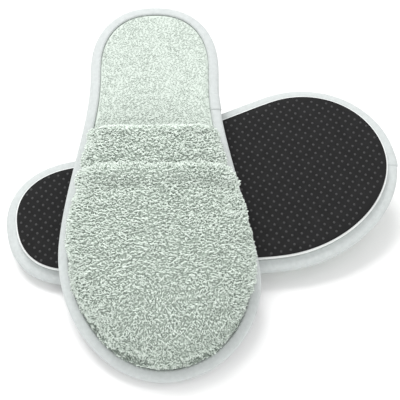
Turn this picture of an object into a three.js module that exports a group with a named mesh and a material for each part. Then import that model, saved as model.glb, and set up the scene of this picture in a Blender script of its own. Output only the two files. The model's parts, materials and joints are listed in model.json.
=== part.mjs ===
// A pair of closed-toe terry spa slippers at rest: one lies sole up on its vamp, and the other
// lies sole down across it, with its toe on the ground.
//
// A slipper is built in its own frame, in millimetres: x runs from the heel to the toe, y across,
// and z up from the underside of the outsole. The two are a left and a right foot.
import * as THREE from 'three';
import { mergeVertices } from 'three/addons/utils/BufferGeometryUtils.js';

// ---- Driving dimensions, mm and degrees ----

// Outline of the sole, over the binding.
const LENGTH = 250;
const BALL_WIDTH = 120;
const HEEL_WIDTH = 82.6;
const HEEL_ROUND = 46.8;        // how far the round of the heel runs forward
const BALL_OUTER = 187.5;       // widest place from the heel, on the little-toe side
const BALL_INNER = 173;         // and on the big-toe side
const HEEL_FULLNESS = 2.25;     // exponents of the round ends: 2 is an ellipse
const TOE_FULLNESS = 1.97;
const TOE_DRIFT = 4.2;          // how far the tip of the toe leans to one side
const WAIST_OUTER = 2.4;        // how far the flank draws in, on the little-toe side
const WAIST_INNER = 0.8;        // and on the big-toe side

// Thickness of each layer, from the ground up.
const SKIN_THICK = 0.7;         // dotted non-slip skin
const FOAM_THICK = 3.4;         // outsole foam
const TAPE_THICK = 0.8;         // binding tape
const BOARD_THICK = 0.8;        // stiffening board
const CUSHION_THICK = 1.5;      // insole foam
const CLOTH_THICK = 0.8;        // insole terry where the tape covers it
const PILE_PROUD = 0.3;         // insole pile above the tape
const LAYER_GAP = 0.3;

// How far each layer stays in from the outline.
const SKIN_INSET = 7.8;
const FOAM_INSET = 6.8;
const FOAM_BEVEL = 0.6;
const TAPE_UNDER = 8.6;         // width of the tape below the edge
const TAPE_OVER = 6.6;          // and above it
const TAPE_ROUND = 2.4;         // how far in the rounded edge of the tape starts
const BOUND_INSET = 2.6;        // the layers held inside the tape

// The closed upper.
const OPENING_X = 95;           // where the rolled hem meets the sole
const OPENING_BOW = 10;         // how much further forward the hem is at its crown
const HEM_WIDTH = 26.5;
const VAMP_HEIGHT = 35;         // crown over the insole
const BULGE_OUTER = 9;          // how far it swells out over the binding, on the little-toe side
const BULGE_INNER = 3;          // and on the big-toe side
const BULGE_AT_HEM = 0.1;       // share of that swelling at the hem's rear edge
const BULGE_FULL = 160;         // where it has grown to its full size
const BULGE_END = 215;          // where that swelling has died away
const TERRY_THICK = 2.8;
const WADDING_THICK = 2.2;
const LINING_THICK = 0.8;
const UPPER_GAP = 0.5;          // between the layers of the upper
const UPPER_SETBACK = 0.5;      // from the edge of the tape to the upper

// Where the sole bends, and the cut there.
const FLEX_X = 86;
const FLEX_GAP = 0.3;
const FLEX_ABOVE = 0.1;         // the bend's axis over the top of the sole

// How the two lie.
const UNDER_TURN = 10.1;
const UNDER_PITCH = -4.9;
const UNDER_ROLL = 16.8;
const UNDER_RIM_LIFT = 6;       // lowest place of its rim above the ground; the soft upper carries it
const TOP_TURN = -88.6;
const TOP_ROLL = 0;
const TOP_FROM_UNDER = [-29.6, 2.6];   // middle of the top slipper from the middle of the under one
const SEAT_GAP = 0.3;
const PRESS_ROUND = 2.5;        // how softly the pressed flat turns up at its edge
const LEAST_PRESSED = 0.35;     // share of its height over the insole that any pressed place keeps

// How finely the curves are stepped.
const FRONT_STEPS = 16;
const HEEL_STEPS = 10;
const VAMP_ROWS = 12;
const ARCH_COLUMNS = 18;

// ---- Heights that follow from the layers ----

const FOAM_BASE = SKIN_THICK + LAYER_GAP;
const FOAM_TOP = FOAM_BASE + FOAM_THICK;
const TAPE_BASE = FOAM_TOP + LAYER_GAP;
const BOARD_BASE = TAPE_BASE + TAPE_THICK + LAYER_GAP;
const BOARD_TOP = BOARD_BASE + BOARD_THICK;
const CUSHION_BASE = BOARD_TOP + LAYER_GAP;
const CUSHION_TOP = CUSHION_BASE + CUSHION_THICK;
const CLOTH_BASE = CUSHION_TOP + LAYER_GAP;
const CLOTH_TOP = CLOTH_BASE + CLOTH_THICK;
const TAPE_TOP = CLOTH_TOP + LAYER_GAP + TAPE_THICK;
const PILE_TOP = TAPE_TOP + PILE_PROUD;
const UPPER_BASE = PILE_TOP + LAYER_GAP;
const UPPER_INSET = TAPE_OVER + UPPER_SETBACK;
const UPPER_THICK = TERRY_THICK + WADDING_THICK + LINING_THICK + 2 * UPPER_GAP;

// ---- The outline of the sole ----

const ballX = (side) => (side > 0 ? BALL_OUTER : BALL_INNER);

// Shares of one side's length that the heel's round and the flank take, so that steps are even.
function sideShares(side) {
  const heel = 0.8 * (HEEL_ROUND + HEEL_WIDTH / 2);
  const flank = ballX(side) - HEEL_ROUND;
  const toe = 0.8 * (LENGTH - ballX(side) + BALL_WIDTH / 2);
  const whole = heel + flank + toe;
  return [heel / whole, (heel + flank) / whole];
}

// A point on the outline: side is 1 or -1, and run goes from 0 at the heel to 1 at the toe.
// A run past either end goes on round the tip to the other side.
function outlinePoint(side, run) {
  if (run < 0) return outlinePoint(-side, -run);
  if (run > 1) return outlinePoint(-side, 2 - run);
  const [heelShare, flankShare] = sideShares(side);
  const heelHalf = HEEL_WIDTH / 2;
  const ballHalf = BALL_WIDTH / 2;
  let x;
  let half;
  if (run < heelShare) {
    const turn = (run / heelShare) * Math.PI / 2;
    x = HEEL_ROUND * (1 - Math.cos(turn) ** (2 / HEEL_FULLNESS));
    half = heelHalf * Math.sin(turn) ** (2 / HEEL_FULLNESS);
  } else if (run < flankShare) {
    const share = (run - heelShare) / (flankShare - heelShare);
    x = HEEL_ROUND + (ballX(side) - HEEL_ROUND) * share;
    const waist = side > 0 ? WAIST_OUTER : WAIST_INNER;
    half = heelHalf + (ballHalf - heelHalf) * share * share * (3 - 2 * share)
      - waist * (1 - (2 * share - 1) ** 4) ** 2;
  } else {
    const turn = ((1 - run) / (1 - flankShare)) * Math.PI / 2;
    x = ballX(side) + (LENGTH - ballX(side)) * Math.cos(turn) ** (2 / TOE_FULLNESS);
    half = ballHalf * Math.sin(turn) ** (2 / TOE_FULLNESS);
  }
  const lean = Math.max(0, (x - HEEL_ROUND) / (LENGTH - HEEL_ROUND));
  return new THREE.Vector2(x, side * half + TOE_DRIFT * lean * lean);
}

// The same point moved squarely in from the outline.
function insetPoint(side, run, inset) {
  const nudge = 0.004;
  const ahead = outlinePoint(side, run + nudge);
  const behind = outlinePoint(side, run - nudge);
  const along = ahead.sub(behind).normalize();
  const inward = new THREE.Vector2(along.y, -along.x).multiplyScalar(side * inset);
  return outlinePoint(side, run).add(inward);
}

// The run at which an inset outline crosses a given x, by halving.
function runAt(side, x, inset) {
  let low = 0;
  let high = 1;
  for (let step = 0; step < 40; step += 1) {
    const middle = (low + high) / 2;
    if (insetPoint(side, middle, inset).x < x) low = middle;
    else high = middle;
  }
  return (low + high) / 2;
}

// Stations round one end of the sole, from the bend on one side to the bend on the other.
function endOutline(end, inset) {
  const front = end === 'front';
  const steps = front ? FRONT_STEPS : HEEL_STEPS;
  const tip = front ? 1 : 0;
  const cut = FLEX_X + (front ? FLEX_GAP : -FLEX_GAP) / 2;
  const points = [];
  for (let step = -steps; step <= steps; step += 1) {
    const side = step < 0 ? 1 : -1;
    const share = Math.abs(step) / steps;
    const run = tip + (runAt(side, cut, inset) - tip) * share;
    points.push(insetPoint(side, run, inset));
  }
  return points;
}

// ---- Closed bodies from rings of points ----

// Turns a list of triangles into one closed, outward-facing geometry, without slivers of no area.
function bodyOf(triangles, mirrored) {
  const loose = new THREE.BufferGeometry();
  const flat = triangles.flat().flatMap((point) => [point.x, mirrored ? -point.y : point.y, point.z]);
  loose.setAttribute('position', new THREE.Float32BufferAttribute(flat, 3));
  const merged = mergeVertices(loose, 1e-4);
  const place = merged.getAttribute('position');
  const index = merged.getIndex().array;
  const corner = [new THREE.Vector3(), new THREE.Vector3(), new THREE.Vector3()];
  const kept = [];
  let volume = 0;
  for (let first = 0; first < index.length; first += 3) {
    const trio = [index[first], index[first + 1], index[first + 2]];
    if (trio[0] === trio[1] || trio[1] === trio[2] || trio[2] === trio[0]) continue;
    trio.forEach((vertex, place3) => corner[place3].fromBufferAttribute(place, vertex));
    volume += corner[0].dot(corner[1].clone().cross(corner[2])) / 6;
    kept.push(trio);
  }
  const outward = volume > 0 ? kept : kept.map(([a, b, c]) => [a, c, b]);
  merged.setIndex(outward.flat());
  merged.computeVertexNormals();
  return merged;
}

// The two triangles of each four-sided patch between neighbouring rows of points.
function patches(rows, closed) {
  const triangles = [];
  for (let row = 0; row + 1 < rows.length; row += 1) {
    const count = rows[row].length;
    for (let column = 0; column < (closed ? count : count - 1); column += 1) {
      const next = (column + 1) % count;
      const [a, b] = [rows[row][column], rows[row][next]];
      const [c, d] = [rows[row + 1][next], rows[row + 1][column]];
      triangles.push([a, b, c], [a, c, d]);
    }
  }
  return triangles;
}

// A flat cap over a ring; flatten drops the ring to two coordinates.
function cap(ring, flatten, flipped) {
  const shape = ring.map(flatten);
  const anticlockwise = THREE.ShapeUtils.area(shape) > 0;
  const order = ring.map((_, place) => (anticlockwise ? place : ring.length - 1 - place));
  const faces = THREE.ShapeUtils.triangulateShape(order.map((place) => shape[place]), []);
  return faces.map((face) => {
    const points = face.map((place) => ring[order[place]]);
    return anticlockwise === flipped ? points.reverse() : points;
  });
}

// A body lofted through closed rings, with a cap on the first and the last.
function lofted(rings, flatten, mirrored) {
  const walls = patches(rings, true);
  const first = cap(rings[0], flatten, true);
  const last = cap(rings[rings.length - 1], flatten, false);
  return bodyOf([...walls, ...first, ...last], mirrored);
}

const fromAbove = (point) => new THREE.Vector2(point.x, point.y);
const fromTheCut = (point) => new THREE.Vector2(point.y, point.z);

// A flat layer of the sole: profile lists [inset, height] up its edge.
function slab(profile, end, mirrored) {
  const rings = profile.map(([inset, height]) => endOutline(end, inset)
    .map((point) => new THREE.Vector3(point.x, point.y, height)));
  return lofted(rings, fromAbove, mirrored);
}

// The binding tape: its section carried round one end of the sole.
function boundEdge(end, mirrored) {
  const middle = (TAPE_BASE + TAPE_TOP) / 2;
  const outer = [
    [TAPE_UNDER, TAPE_BASE], [TAPE_ROUND, TAPE_BASE], [TAPE_ROUND * 0.3, TAPE_BASE + TAPE_ROUND * 0.4],
    [0, middle],
    [TAPE_ROUND * 0.3, TAPE_TOP - TAPE_ROUND * 0.4], [TAPE_ROUND, TAPE_TOP], [TAPE_OVER, TAPE_TOP],
  ];
  const inner = [
    [TAPE_OVER, TAPE_TOP - TAPE_THICK], [TAPE_ROUND, TAPE_TOP - TAPE_THICK],
    [TAPE_ROUND * 0.3 + TAPE_THICK * 0.8, TAPE_TOP - TAPE_ROUND * 0.4 - TAPE_THICK * 0.5],
    [TAPE_THICK, middle],
    [TAPE_ROUND * 0.3 + TAPE_THICK * 0.8, TAPE_BASE + TAPE_ROUND * 0.4 + TAPE_THICK * 0.5],
    [TAPE_ROUND, TAPE_BASE + TAPE_THICK], [TAPE_UNDER, TAPE_BASE + TAPE_THICK],
  ];
  const lines = [...outer, ...inner].map(([inset, height]) => endOutline(end, inset)
    .map((point) => new THREE.Vector3(point.x, point.y, height)));
  const rings = lines[0].map((_, station) => lines.map((line) => line[station]));
  return lofted(rings, fromTheCut, mirrored);
}

// ---- The closed upper ----

// A point of the upper: along is measured from the hem towards the toe, depth inward from the
// outer face, and turn from 0 on one side of the sole to pi on the other.
function archPoint(along, depth, turn) {
  const inset = UPPER_INSET + depth;
  const tipX = insetPoint(1, 1, inset).x;
  const x = Math.min(OPENING_X + along, tipX);
  const share = (x - OPENING_X) / (tipX - OPENING_X);
  const left = insetPoint(1, runAt(1, x, inset), inset).y;
  const right = insetPoint(-1, runAt(-1, x, inset), inset).y;
  const middle = (left + right) / 2;
  const half = share < 1 ? (left - right) / 2 : 0;
  const height = (VAMP_HEIGHT - depth) * (1 - Math.min(share, 1) ** 3) ** (1 / 2.2);
  const rise = Math.sin(turn);
  const faded = Math.max(0, (x - OPENING_X) / (BULGE_END - OPENING_X)) ** 3;
  const grown = Math.min(1, (x - OPENING_X) / (BULGE_FULL - OPENING_X));
  const eased = BULGE_AT_HEM + (1 - BULGE_AT_HEM) * grown * grown * (3 - 2 * grown);
  const swell = (Math.cos(turn) > 0 ? BULGE_OUTER : BULGE_INNER) * eased * Math.max(0, 1 - faded);
  const sideways = Math.sign(Math.cos(turn)) * Math.abs(Math.cos(turn)) ** 0.85;
  const bulge = Math.sign(Math.cos(turn)) * swell * Math.sin(Math.min(rise * 1.25, 1) * Math.PI);
  return new THREE.Vector3(
    x + OPENING_BOW * (1 - share) * rise * rise,
    middle + half * sideways + bulge,
    UPPER_BASE + height * rise,
  );
}

// How far the upper runs from the hem to its tip, at a given depth.
const archLength = (depth) => insetPoint(1, 1, UPPER_INSET + depth).x - OPENING_X;

// Rows of points over one face of the upper, closer together towards the toe.
function archRows(from, depth, shape) {
  const rows = [];
  for (let row = 0; row <= VAMP_ROWS; row += 1) {
    const share = Math.sin((row / VAMP_ROWS) * Math.PI / 2);
    const along = from + (archLength(depth) - from) * share;
    const points = [];
    for (let column = 0; column <= ARCH_COLUMNS; column += 1) {
      points.push(shape(along, depth, (column / ARCH_COLUMNS) * Math.PI));
    }
    rows.push(points);
  }
  return rows;
}

// One layer of the upper, from depth to depth + thick, open at the foot end. Shape gives its points:
// archPoint, or the same as the ground presses it.
function vampLayer(depth, thick, shape, mirrored) {
  const from = HEM_WIDTH + UPPER_GAP;
  const outer = archRows(from, depth, shape);
  const inner = archRows(from, depth + thick, shape);
  const last = ARCH_COLUMNS;
  const openEdge = patches([inner[0], outer[0]], false);
  const leftEdge = patches([outer.map((row) => row[0]), inner.map((row) => row[0])], false);
  const rightEdge = patches([inner.map((row) => row[last]), outer.map((row) => row[last])], false);
  const inside = patches(inner, false).map(([a, b, c]) => [a, c, b]);
  return bodyOf([...patches(outer, false), ...inside, ...openEdge, ...leftEdge, ...rightEdge], mirrored);
}

// The hem: a folded band with a rolled rear edge, carried over the arch of the opening.
function hemBand(shape, mirrored) {
  const roll = UPPER_THICK / 2;
  const section = [
    [HEM_WIDTH, 0], [roll, 0], [roll * 0.3, roll * 0.3], [0, roll],
    [roll * 0.3, UPPER_THICK - roll * 0.3], [roll, UPPER_THICK], [HEM_WIDTH, UPPER_THICK],
  ];
  const rings = [];
  for (let column = 0; column <= ARCH_COLUMNS; column += 1) {
    const turn = (column / ARCH_COLUMNS) * Math.PI;
    rings.push(section.map(([along, depth]) => shape(along, depth, turn)));
  }
  return lofted(rings, fromAbove, mirrored);
}

// ---- Finishes ----

const finish = (color, roughness) => new THREE.MeshStandardMaterial({ color, roughness, metalness: 0 });
const terry = finish(0xcfd8cf, 1);
const insoleTerry = finish(0xd6dfd7, 1);
const tape = finish(0xdde3e4, 0.8);
const wadding = finish(0xf0f0ec, 1);
const lining = finish(0xe6e9e6, 0.9);
const whiteFoam = finish(0xf4f5f3, 0.85);
const greyBoard = finish(0xb9b4a8, 0.9);
const blackSkin = finish(0x2d2e2f, 0.7);

// ---- One slipper ----

function piece(name, geometry, material) {
  const mesh = new THREE.Mesh(geometry, material);
  mesh.name = name;
  return mesh;
}

// The layers of one end of the sole.
function soleEnd(prefix, end, mirrored) {
  const tag = end === 'front' ? prefix : `${prefix}_heel`;
  const skin = [[SKIN_INSET, 0], [SKIN_INSET, SKIN_THICK]];
  const foam = [
    [FOAM_INSET, FOAM_BASE], [FOAM_INSET, FOAM_TOP - FOAM_BEVEL], [FOAM_INSET + FOAM_BEVEL, FOAM_TOP],
  ];
  const core = TAPE_UNDER + LAYER_GAP;
  const board = [
    [core, TAPE_BASE], [core, BOARD_BASE], [BOUND_INSET, BOARD_BASE], [BOUND_INSET, BOARD_TOP],
  ];
  const cushion = [[BOUND_INSET, CUSHION_BASE], [BOUND_INSET, CUSHION_TOP]];
  const pileInset = TAPE_OVER + LAYER_GAP;
  const pile = [
    [BOUND_INSET, CLOTH_BASE], [BOUND_INSET, CLOTH_TOP], [pileInset, CLOTH_TOP], [pileInset, PILE_TOP],
  ];
  return [
    piece(`${tag}_outsole_skin`, slab(skin, end, mirrored), blackSkin),
    piece(`${tag}_outsole_foam`, slab(foam, end, mirrored), whiteFoam),
    piece(`${tag}_insole_board`, slab(board, end, mirrored), greyBoard),
    piece(`${tag}_insole_foam`, slab(cushion, end, mirrored), wadding),
    piece(`${tag}_insole_terry`, slab(pile, end, mirrored), insoleTerry),
    piece(`${tag}_edge_binding`, boundEdge(end, mirrored), tape),
  ];
}

// A whole slipper. The heel end is a group of its own, set at the axis on which the sole bends.
function slipper(prefix, mirrored, shape) {
  const body = new THREE.Group();
  body.name = prefix;
  body.add(...soleEnd(prefix, 'front', mirrored));
  const waddingDepth = TERRY_THICK + UPPER_GAP;
  const liningDepth = waddingDepth + WADDING_THICK + UPPER_GAP;
  body.add(piece(`${prefix}_upper_terry`, vampLayer(0, TERRY_THICK, shape, mirrored), terry));
  body.add(piece(`${prefix}_upper_wadding`,
    vampLayer(waddingDepth, WADDING_THICK, shape, mirrored), wadding));
  body.add(piece(`${prefix}_upper_lining`,
    vampLayer(liningDepth, LINING_THICK, shape, mirrored), lining));
  body.add(piece(`${prefix}_hem_band`, hemBand(shape, mirrored), terry));
  const heel = new THREE.Group();
  heel.name = `${prefix}_heel`;
  heel.position.set(FLEX_X, 0, PILE_TOP + FLEX_ABOVE);
  for (const mesh of soleEnd(prefix, 'heel', mirrored)) {
    mesh.geometry.translate(-heel.position.x, -heel.position.y, -heel.position.z);
    heel.add(mesh);
  }
  body.add(heel);
  return body;
}

// ---- How the two slippers lie ----

const degrees = THREE.MathUtils.degToRad;

// Turns, then pitches, then rolls a slipper about the middle of its outsole.
function attitude(turn, pitch, roll) {
  const angles = new THREE.Euler(degrees(roll), degrees(pitch), degrees(turn), 'ZYX');
  const middle = new THREE.Matrix4().makeTranslation(-LENGTH / 2, 0, 0);
  return new THREE.Matrix4().makeRotationFromEuler(angles).multiply(middle);
}

// The points of a slipper that can touch the ground or the other slipper: the rims of its skin
// and of its tape.
function rimPoints(mirrored) {
  const middle = (TAPE_BASE + TAPE_TOP) / 2;
  const rims = [[SKIN_INSET, 0], [FOAM_INSET, FOAM_BASE], [TAPE_ROUND, TAPE_BASE], [0, middle]];
  return rims.flatMap(([inset, height]) => ['front', 'heel'].flatMap((end) => endOutline(end, inset)
    .map((point) => new THREE.Vector3(point.x, mirrored ? -point.y : point.y, height))));
}

const moved = (points, matrix) => points.map((point) => point.clone().applyMatrix4(matrix));
const lowest = (points) => Math.min(...points.map((point) => point.z));
const raise = (matrix, height) => new THREE.Matrix4().makeTranslation(0, 0, height).multiply(matrix);

// The under slipper lies sole up on its upper, with its rim just clear of the ground.
const underRims = rimPoints(true);
const underTilt = attitude(UNDER_TURN, UNDER_PITCH, UNDER_ROLL + 180);
const underPlace = raise(underTilt, UNDER_RIM_LIFT - lowest(moved(underRims, underTilt)));

// Its soft upper is pressed flat where the ground meets it. All the layers sink together, by as
// much as the outer face has to, and the flat turns up softly at its edge.
const underUp = new THREE.Vector3(0, 0, 1).transformDirection(underPlace);
function pressedPoint(along, depth, turn) {
  const point = archPoint(along, depth, turn);
  const outer = archPoint(along, 0, turn);
  const ground = new THREE.Vector3(outer.x, -outer.y, outer.z).applyMatrix4(underPlace).z;
  if (ground >= PRESS_ROUND) return point;
  const kept = Math.max(0, ground + PRESS_ROUND) ** 2 / (4 * PRESS_ROUND);
  const sunk = point.z + (kept - ground) / underUp.z;
  const least = UPPER_BASE + LEAST_PRESSED * (point.z - UPPER_BASE);
  return new THREE.Vector3(point.x, point.y, Math.max(sunk, least));
}

// The top slipper, with its toe on the ground, at a given pitch.
const topRims = rimPoints(false);
function topPlaceAt(pitch) {
  const tilt = attitude(TOP_TURN, pitch, TOP_ROLL);
  const shift = new THREE.Matrix4().makeTranslation(TOP_FROM_UNDER[0], TOP_FROM_UNDER[1], 0);
  const placed = shift.multiply(tilt);
  return raise(placed, -lowest(moved(topRims, placed)));
}

// Whether a point in a slipper's own frame is over or under its sole.
function withinSole(point) {
  if (point.x <= 0 || point.x >= LENGTH) return false;
  return Math.abs(point.y) < Math.abs(outlinePoint(1, runAt(1, point.x, 0)).y);
}

// The clear height between the two soles: the rim of each against the flat skin of the other.
function clearance(topPlace) {
  const underInTop = moved(moved(underRims, underPlace), topPlace.clone().invert());
  const topInUnder = moved(moved(topRims, topPlace), underPlace.clone().invert());
  const heights = [...underInTop, ...topInUnder].filter(withinSole).map((point) => -point.z);
  return Math.min(...heights);
}

// The lowest pitch at which the top slipper still clears the under one, by halving.
function restingPitch() {
  let low = 0;
  let high = 45;
  for (let step = 0; step < 40; step += 1) {
    const middle = (low + high) / 2;
    if (clearance(topPlaceAt(middle)) < SEAT_GAP) low = middle;
    else high = middle;
  }
  return high;
}

const under = slipper('under', true, pressedPoint);
under.applyMatrix4(underPlace);
const top = slipper('top', false, archPoint);
top.applyMatrix4(topPlaceAt(restingPitch()));

// The origin is on the ground, under the middle of the pair.
const pair = new THREE.Group();
pair.add(under, top);
pair.updateMatrixWorld(true);
const extent = new THREE.Box3().setFromObject(pair, true);
const centre = extent.getCenter(new THREE.Vector3());
pair.position.set(-centre.x, -centre.y, -extent.min.z);

const slippers = new THREE.Group();
slippers.add(pair);

export default slippers;
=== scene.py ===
"""A pair of closed-toe terry spa slippers: one lies sole up, the other sole down across it.

Each slipper is worked out in its own frame in millimetres: x from the heel to the toe, y across,
and z up from the underside of the outsole. A Placement carries it into the row frame in metres.
"""

import json
import logging
import math
from dataclasses import dataclass, field
from enum import Enum
from typing import Callable, Sequence

import bmesh
import bpy
import numpy as np
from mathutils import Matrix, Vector


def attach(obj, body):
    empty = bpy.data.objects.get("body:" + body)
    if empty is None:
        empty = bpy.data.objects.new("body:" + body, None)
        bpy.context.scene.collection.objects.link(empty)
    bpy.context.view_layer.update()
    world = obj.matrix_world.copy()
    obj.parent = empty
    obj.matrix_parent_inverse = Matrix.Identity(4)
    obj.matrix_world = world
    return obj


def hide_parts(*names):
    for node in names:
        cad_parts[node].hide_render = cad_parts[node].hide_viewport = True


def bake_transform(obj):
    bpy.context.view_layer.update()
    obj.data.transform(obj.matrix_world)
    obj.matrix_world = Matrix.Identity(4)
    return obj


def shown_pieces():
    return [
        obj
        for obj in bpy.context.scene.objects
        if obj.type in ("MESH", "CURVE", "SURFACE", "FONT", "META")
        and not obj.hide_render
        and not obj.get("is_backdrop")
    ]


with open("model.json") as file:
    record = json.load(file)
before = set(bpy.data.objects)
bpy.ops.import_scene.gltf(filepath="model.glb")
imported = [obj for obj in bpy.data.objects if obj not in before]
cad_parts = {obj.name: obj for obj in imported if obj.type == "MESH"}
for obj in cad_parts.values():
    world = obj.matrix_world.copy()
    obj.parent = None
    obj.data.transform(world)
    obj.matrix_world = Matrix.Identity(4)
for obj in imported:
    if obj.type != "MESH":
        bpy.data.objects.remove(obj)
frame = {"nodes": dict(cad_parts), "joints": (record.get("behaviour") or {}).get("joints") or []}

LOG = logging.getLogger("spa_slippers")
MM = 0.001
FLOOR_GAP = 0.15
Array = np.ndarray
Colour = tuple[float, float, float]
Profile = Sequence[tuple[float, float]]


class Pair(Enum):
    """The two slippers of the pair; the value is the CAD prefix of their nodes and bodies."""

    TOP = "top"
    UNDER = "under"


class End(Enum):
    """The end of the sole that a CAD node belongs to; the value is its tag in the node's name."""

    FRONT = ""
    HEEL = "_heel"


# ---- Meshes from arrays ----


@dataclass
class Skin:
    """Points and four-sided faces of one piece, with what its material reads.

    Attributes:
        points: Places of the vertices, (n, 3), in millimetres in the slipper's frame.
        faces: Corner indices, (m, 4).
        uv: Place of each vertex on the cloth, (n, 2), in millimetres, or None.
        tone: A number from 0 to 1 on each vertex for the material, or None.
    """

    points: Array
    faces: Array
    uv: Array | None = None
    tone: Array | None = None

    def to_object(self, name: str, place: "Placement", floor: bool = False) -> bpy.types.Object:
        """Makes the closed mesh in the row frame, with its faces pointing outwards.

        Args:
            name: Name of the piece.
            place: Where its slipper lies.
            floor: Whether points under the ground are lifted on to it.

        Returns:
            The new object, at the origin, with its place in its mesh.
        """
        points = place.to_row(self.points)
        if floor:
            points[:, 2] = np.maximum(points[:, 2], FLOOR_GAP * MM)
        corner = points[self.faces]
        spans = np.cross(corner[:, 2] - corner[:, 0], corner[:, 3] - corner[:, 1])
        centre = corner.mean(axis=1) - points.mean(axis=0)
        faces = self.faces if float((spans * centre).sum()) > 0 else self.faces[:, ::-1]
        mesh = bpy.data.meshes.new(name)
        mesh.from_pydata(points.tolist(), [], faces.tolist())
        if self.uv is not None:
            order = np.empty(len(mesh.loops), np.int32)
            mesh.loops.foreach_get("vertex_index", order)
            layer = mesh.uv_layers.new(name="cloth")
            layer.data.foreach_set("uv", self.uv[order].astype(np.float32).ravel())
        if self.tone is not None:
            attribute = mesh.attributes.new("tone", "FLOAT", "POINT")
            attribute.data.foreach_set("value", self.tone.astype(np.float32))
        mesh.shade_smooth()
        piece = bpy.data.objects.new(name, mesh)
        bpy.context.scene.collection.objects.link(piece)
        return piece


def close_seams(piece: bpy.types.Object, distance: float = 0.004 * MM) -> bpy.types.Object:
    """Merges vertices that share a place, so that poles and seams are closed.

    Args:
        piece: A mesh object.
        distance: How near two vertices lie to become one, in metres.

    Returns:
        The same object.
    """
    work = bmesh.new()
    work.from_mesh(piece.data)
    bmesh.ops.remove_doubles(work, verts=work.verts, dist=distance)
    bmesh.ops.dissolve_degenerate(work, edges=work.edges, dist=distance / 4)
    work.to_mesh(piece.data)
    work.free()
    piece.data.shade_smooth()
    return piece


def loft_faces(rings: int, columns: int, round_trip: bool = False) -> Array:
    """Faces of a skin lofted through closed rings: face (r, c) joins ring r to r + 1.

    Args:
        rings: How many rings.
        columns: Points on each ring.
        round_trip: Whether the last ring joins the first.

    Returns:
        Corner indices, (m, 4).
    """
    last = rings if round_trip else rings - 1
    ring, column = np.meshgrid(np.arange(last), np.arange(columns), indexing="ij")
    after = (ring + 1) % rings
    beside = (column + 1) % columns
    quads = [ring * columns + column, ring * columns + beside,
             after * columns + beside, after * columns + column]
    return np.stack(quads, axis=-1).reshape(-1, 4)


def strip_cap(ring: int, columns: int, flipped: bool) -> Array:
    """Faces over a ring whose first half runs out along one face and whose second half runs back.

    Args:
        ring: Number of the ring.
        columns: Points on the ring, an even number.
        flipped: Whether the faces look the other way.

    Returns:
        Corner indices, (m, 4).
    """
    step = np.arange(columns // 2 - 1)
    quads = np.stack([step, columns - 1 - step, columns - 2 - step, step + 1], axis=-1) + ring * columns
    return quads[:, ::-1] if flipped else quads


def unit(vectors: Array) -> Array:
    """Vectors over their lengths."""
    return vectors / np.maximum(np.linalg.norm(vectors, axis=-1, keepdims=True), 1e-12)


def bell(value: Array, middle: float, width: float) -> Array:
    """A bell curve: e to the power of minus the square of the distance from the middle over the width."""
    return np.exp(-(((value - middle) / width) ** 2))


def ease(share: Array) -> Array:
    """Runs from 0 to 1 with a level start and end: 3t^2 - 2t^3."""
    return share * share * (3 - 2 * share)


def surface_area(surface: Array) -> float:
    """Area of a grid of points, in its unit squared: the sum of its cells' edge products.

    Args:
        surface: Places, (rows, columns, 3).

    Returns:
        The area.
    """
    down, over = surface[1:, :-1] - surface[:-1, :-1], surface[:-1, 1:] - surface[:-1, :-1]
    return float(np.linalg.norm(np.cross(down, over), axis=-1).sum())


class SmoothNoise:
    """Random numbers on a repeating lattice of 24 steps each way, eased between its points."""

    STEPS = 24

    def __init__(self, seed: int) -> None:
        """Fills the lattice.

        Args:
            seed: Seed of the random numbers.
        """
        self.lattice = np.random.default_rng(seed).uniform(-1, 1, (self.STEPS,) * 3)

    def at(self, points: Array, size: float) -> Array:
        """Noise from about -1 to 1: eased (3t^2 - 2t^3) blends of the eight lattice points around.

        Args:
            points: Places, (..., 3).
            size: Distance between lattice points, in the same unit.

        Returns:
            One number for each place.
        """
        scaled = points / size
        base = np.floor(scaled).astype(int)
        share = scaled - base
        share = ease(share)
        total = np.zeros(points.shape[:-1])
        for corner in np.ndindex(2, 2, 2):
            weight = np.prod(np.where(np.array(corner), share, 1 - share), axis=-1)
            spot = (base + np.array(corner)) % self.STEPS
            total += weight * self.lattice[spot[..., 0], spot[..., 1], spot[..., 2]]
        return total

    def waves(self, points: Array, coarse: tuple[float, float], fine: tuple[float, float],
              shift: float) -> Array:
        """Two sizes of noise added together.

        Args:
            points: Places, (..., 3).
            coarse: Weight and size of the larger noise.
            fine: Weight and size of the smaller noise.
            shift: How far away the smaller noise is read, so that the two don't line up.

        Returns:
            One number for each place.
        """
        return coarse[0] * self.at(points, coarse[1]) + fine[0] * self.at(points + shift, fine[1])


# ---- The slipper's shape ----


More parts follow.
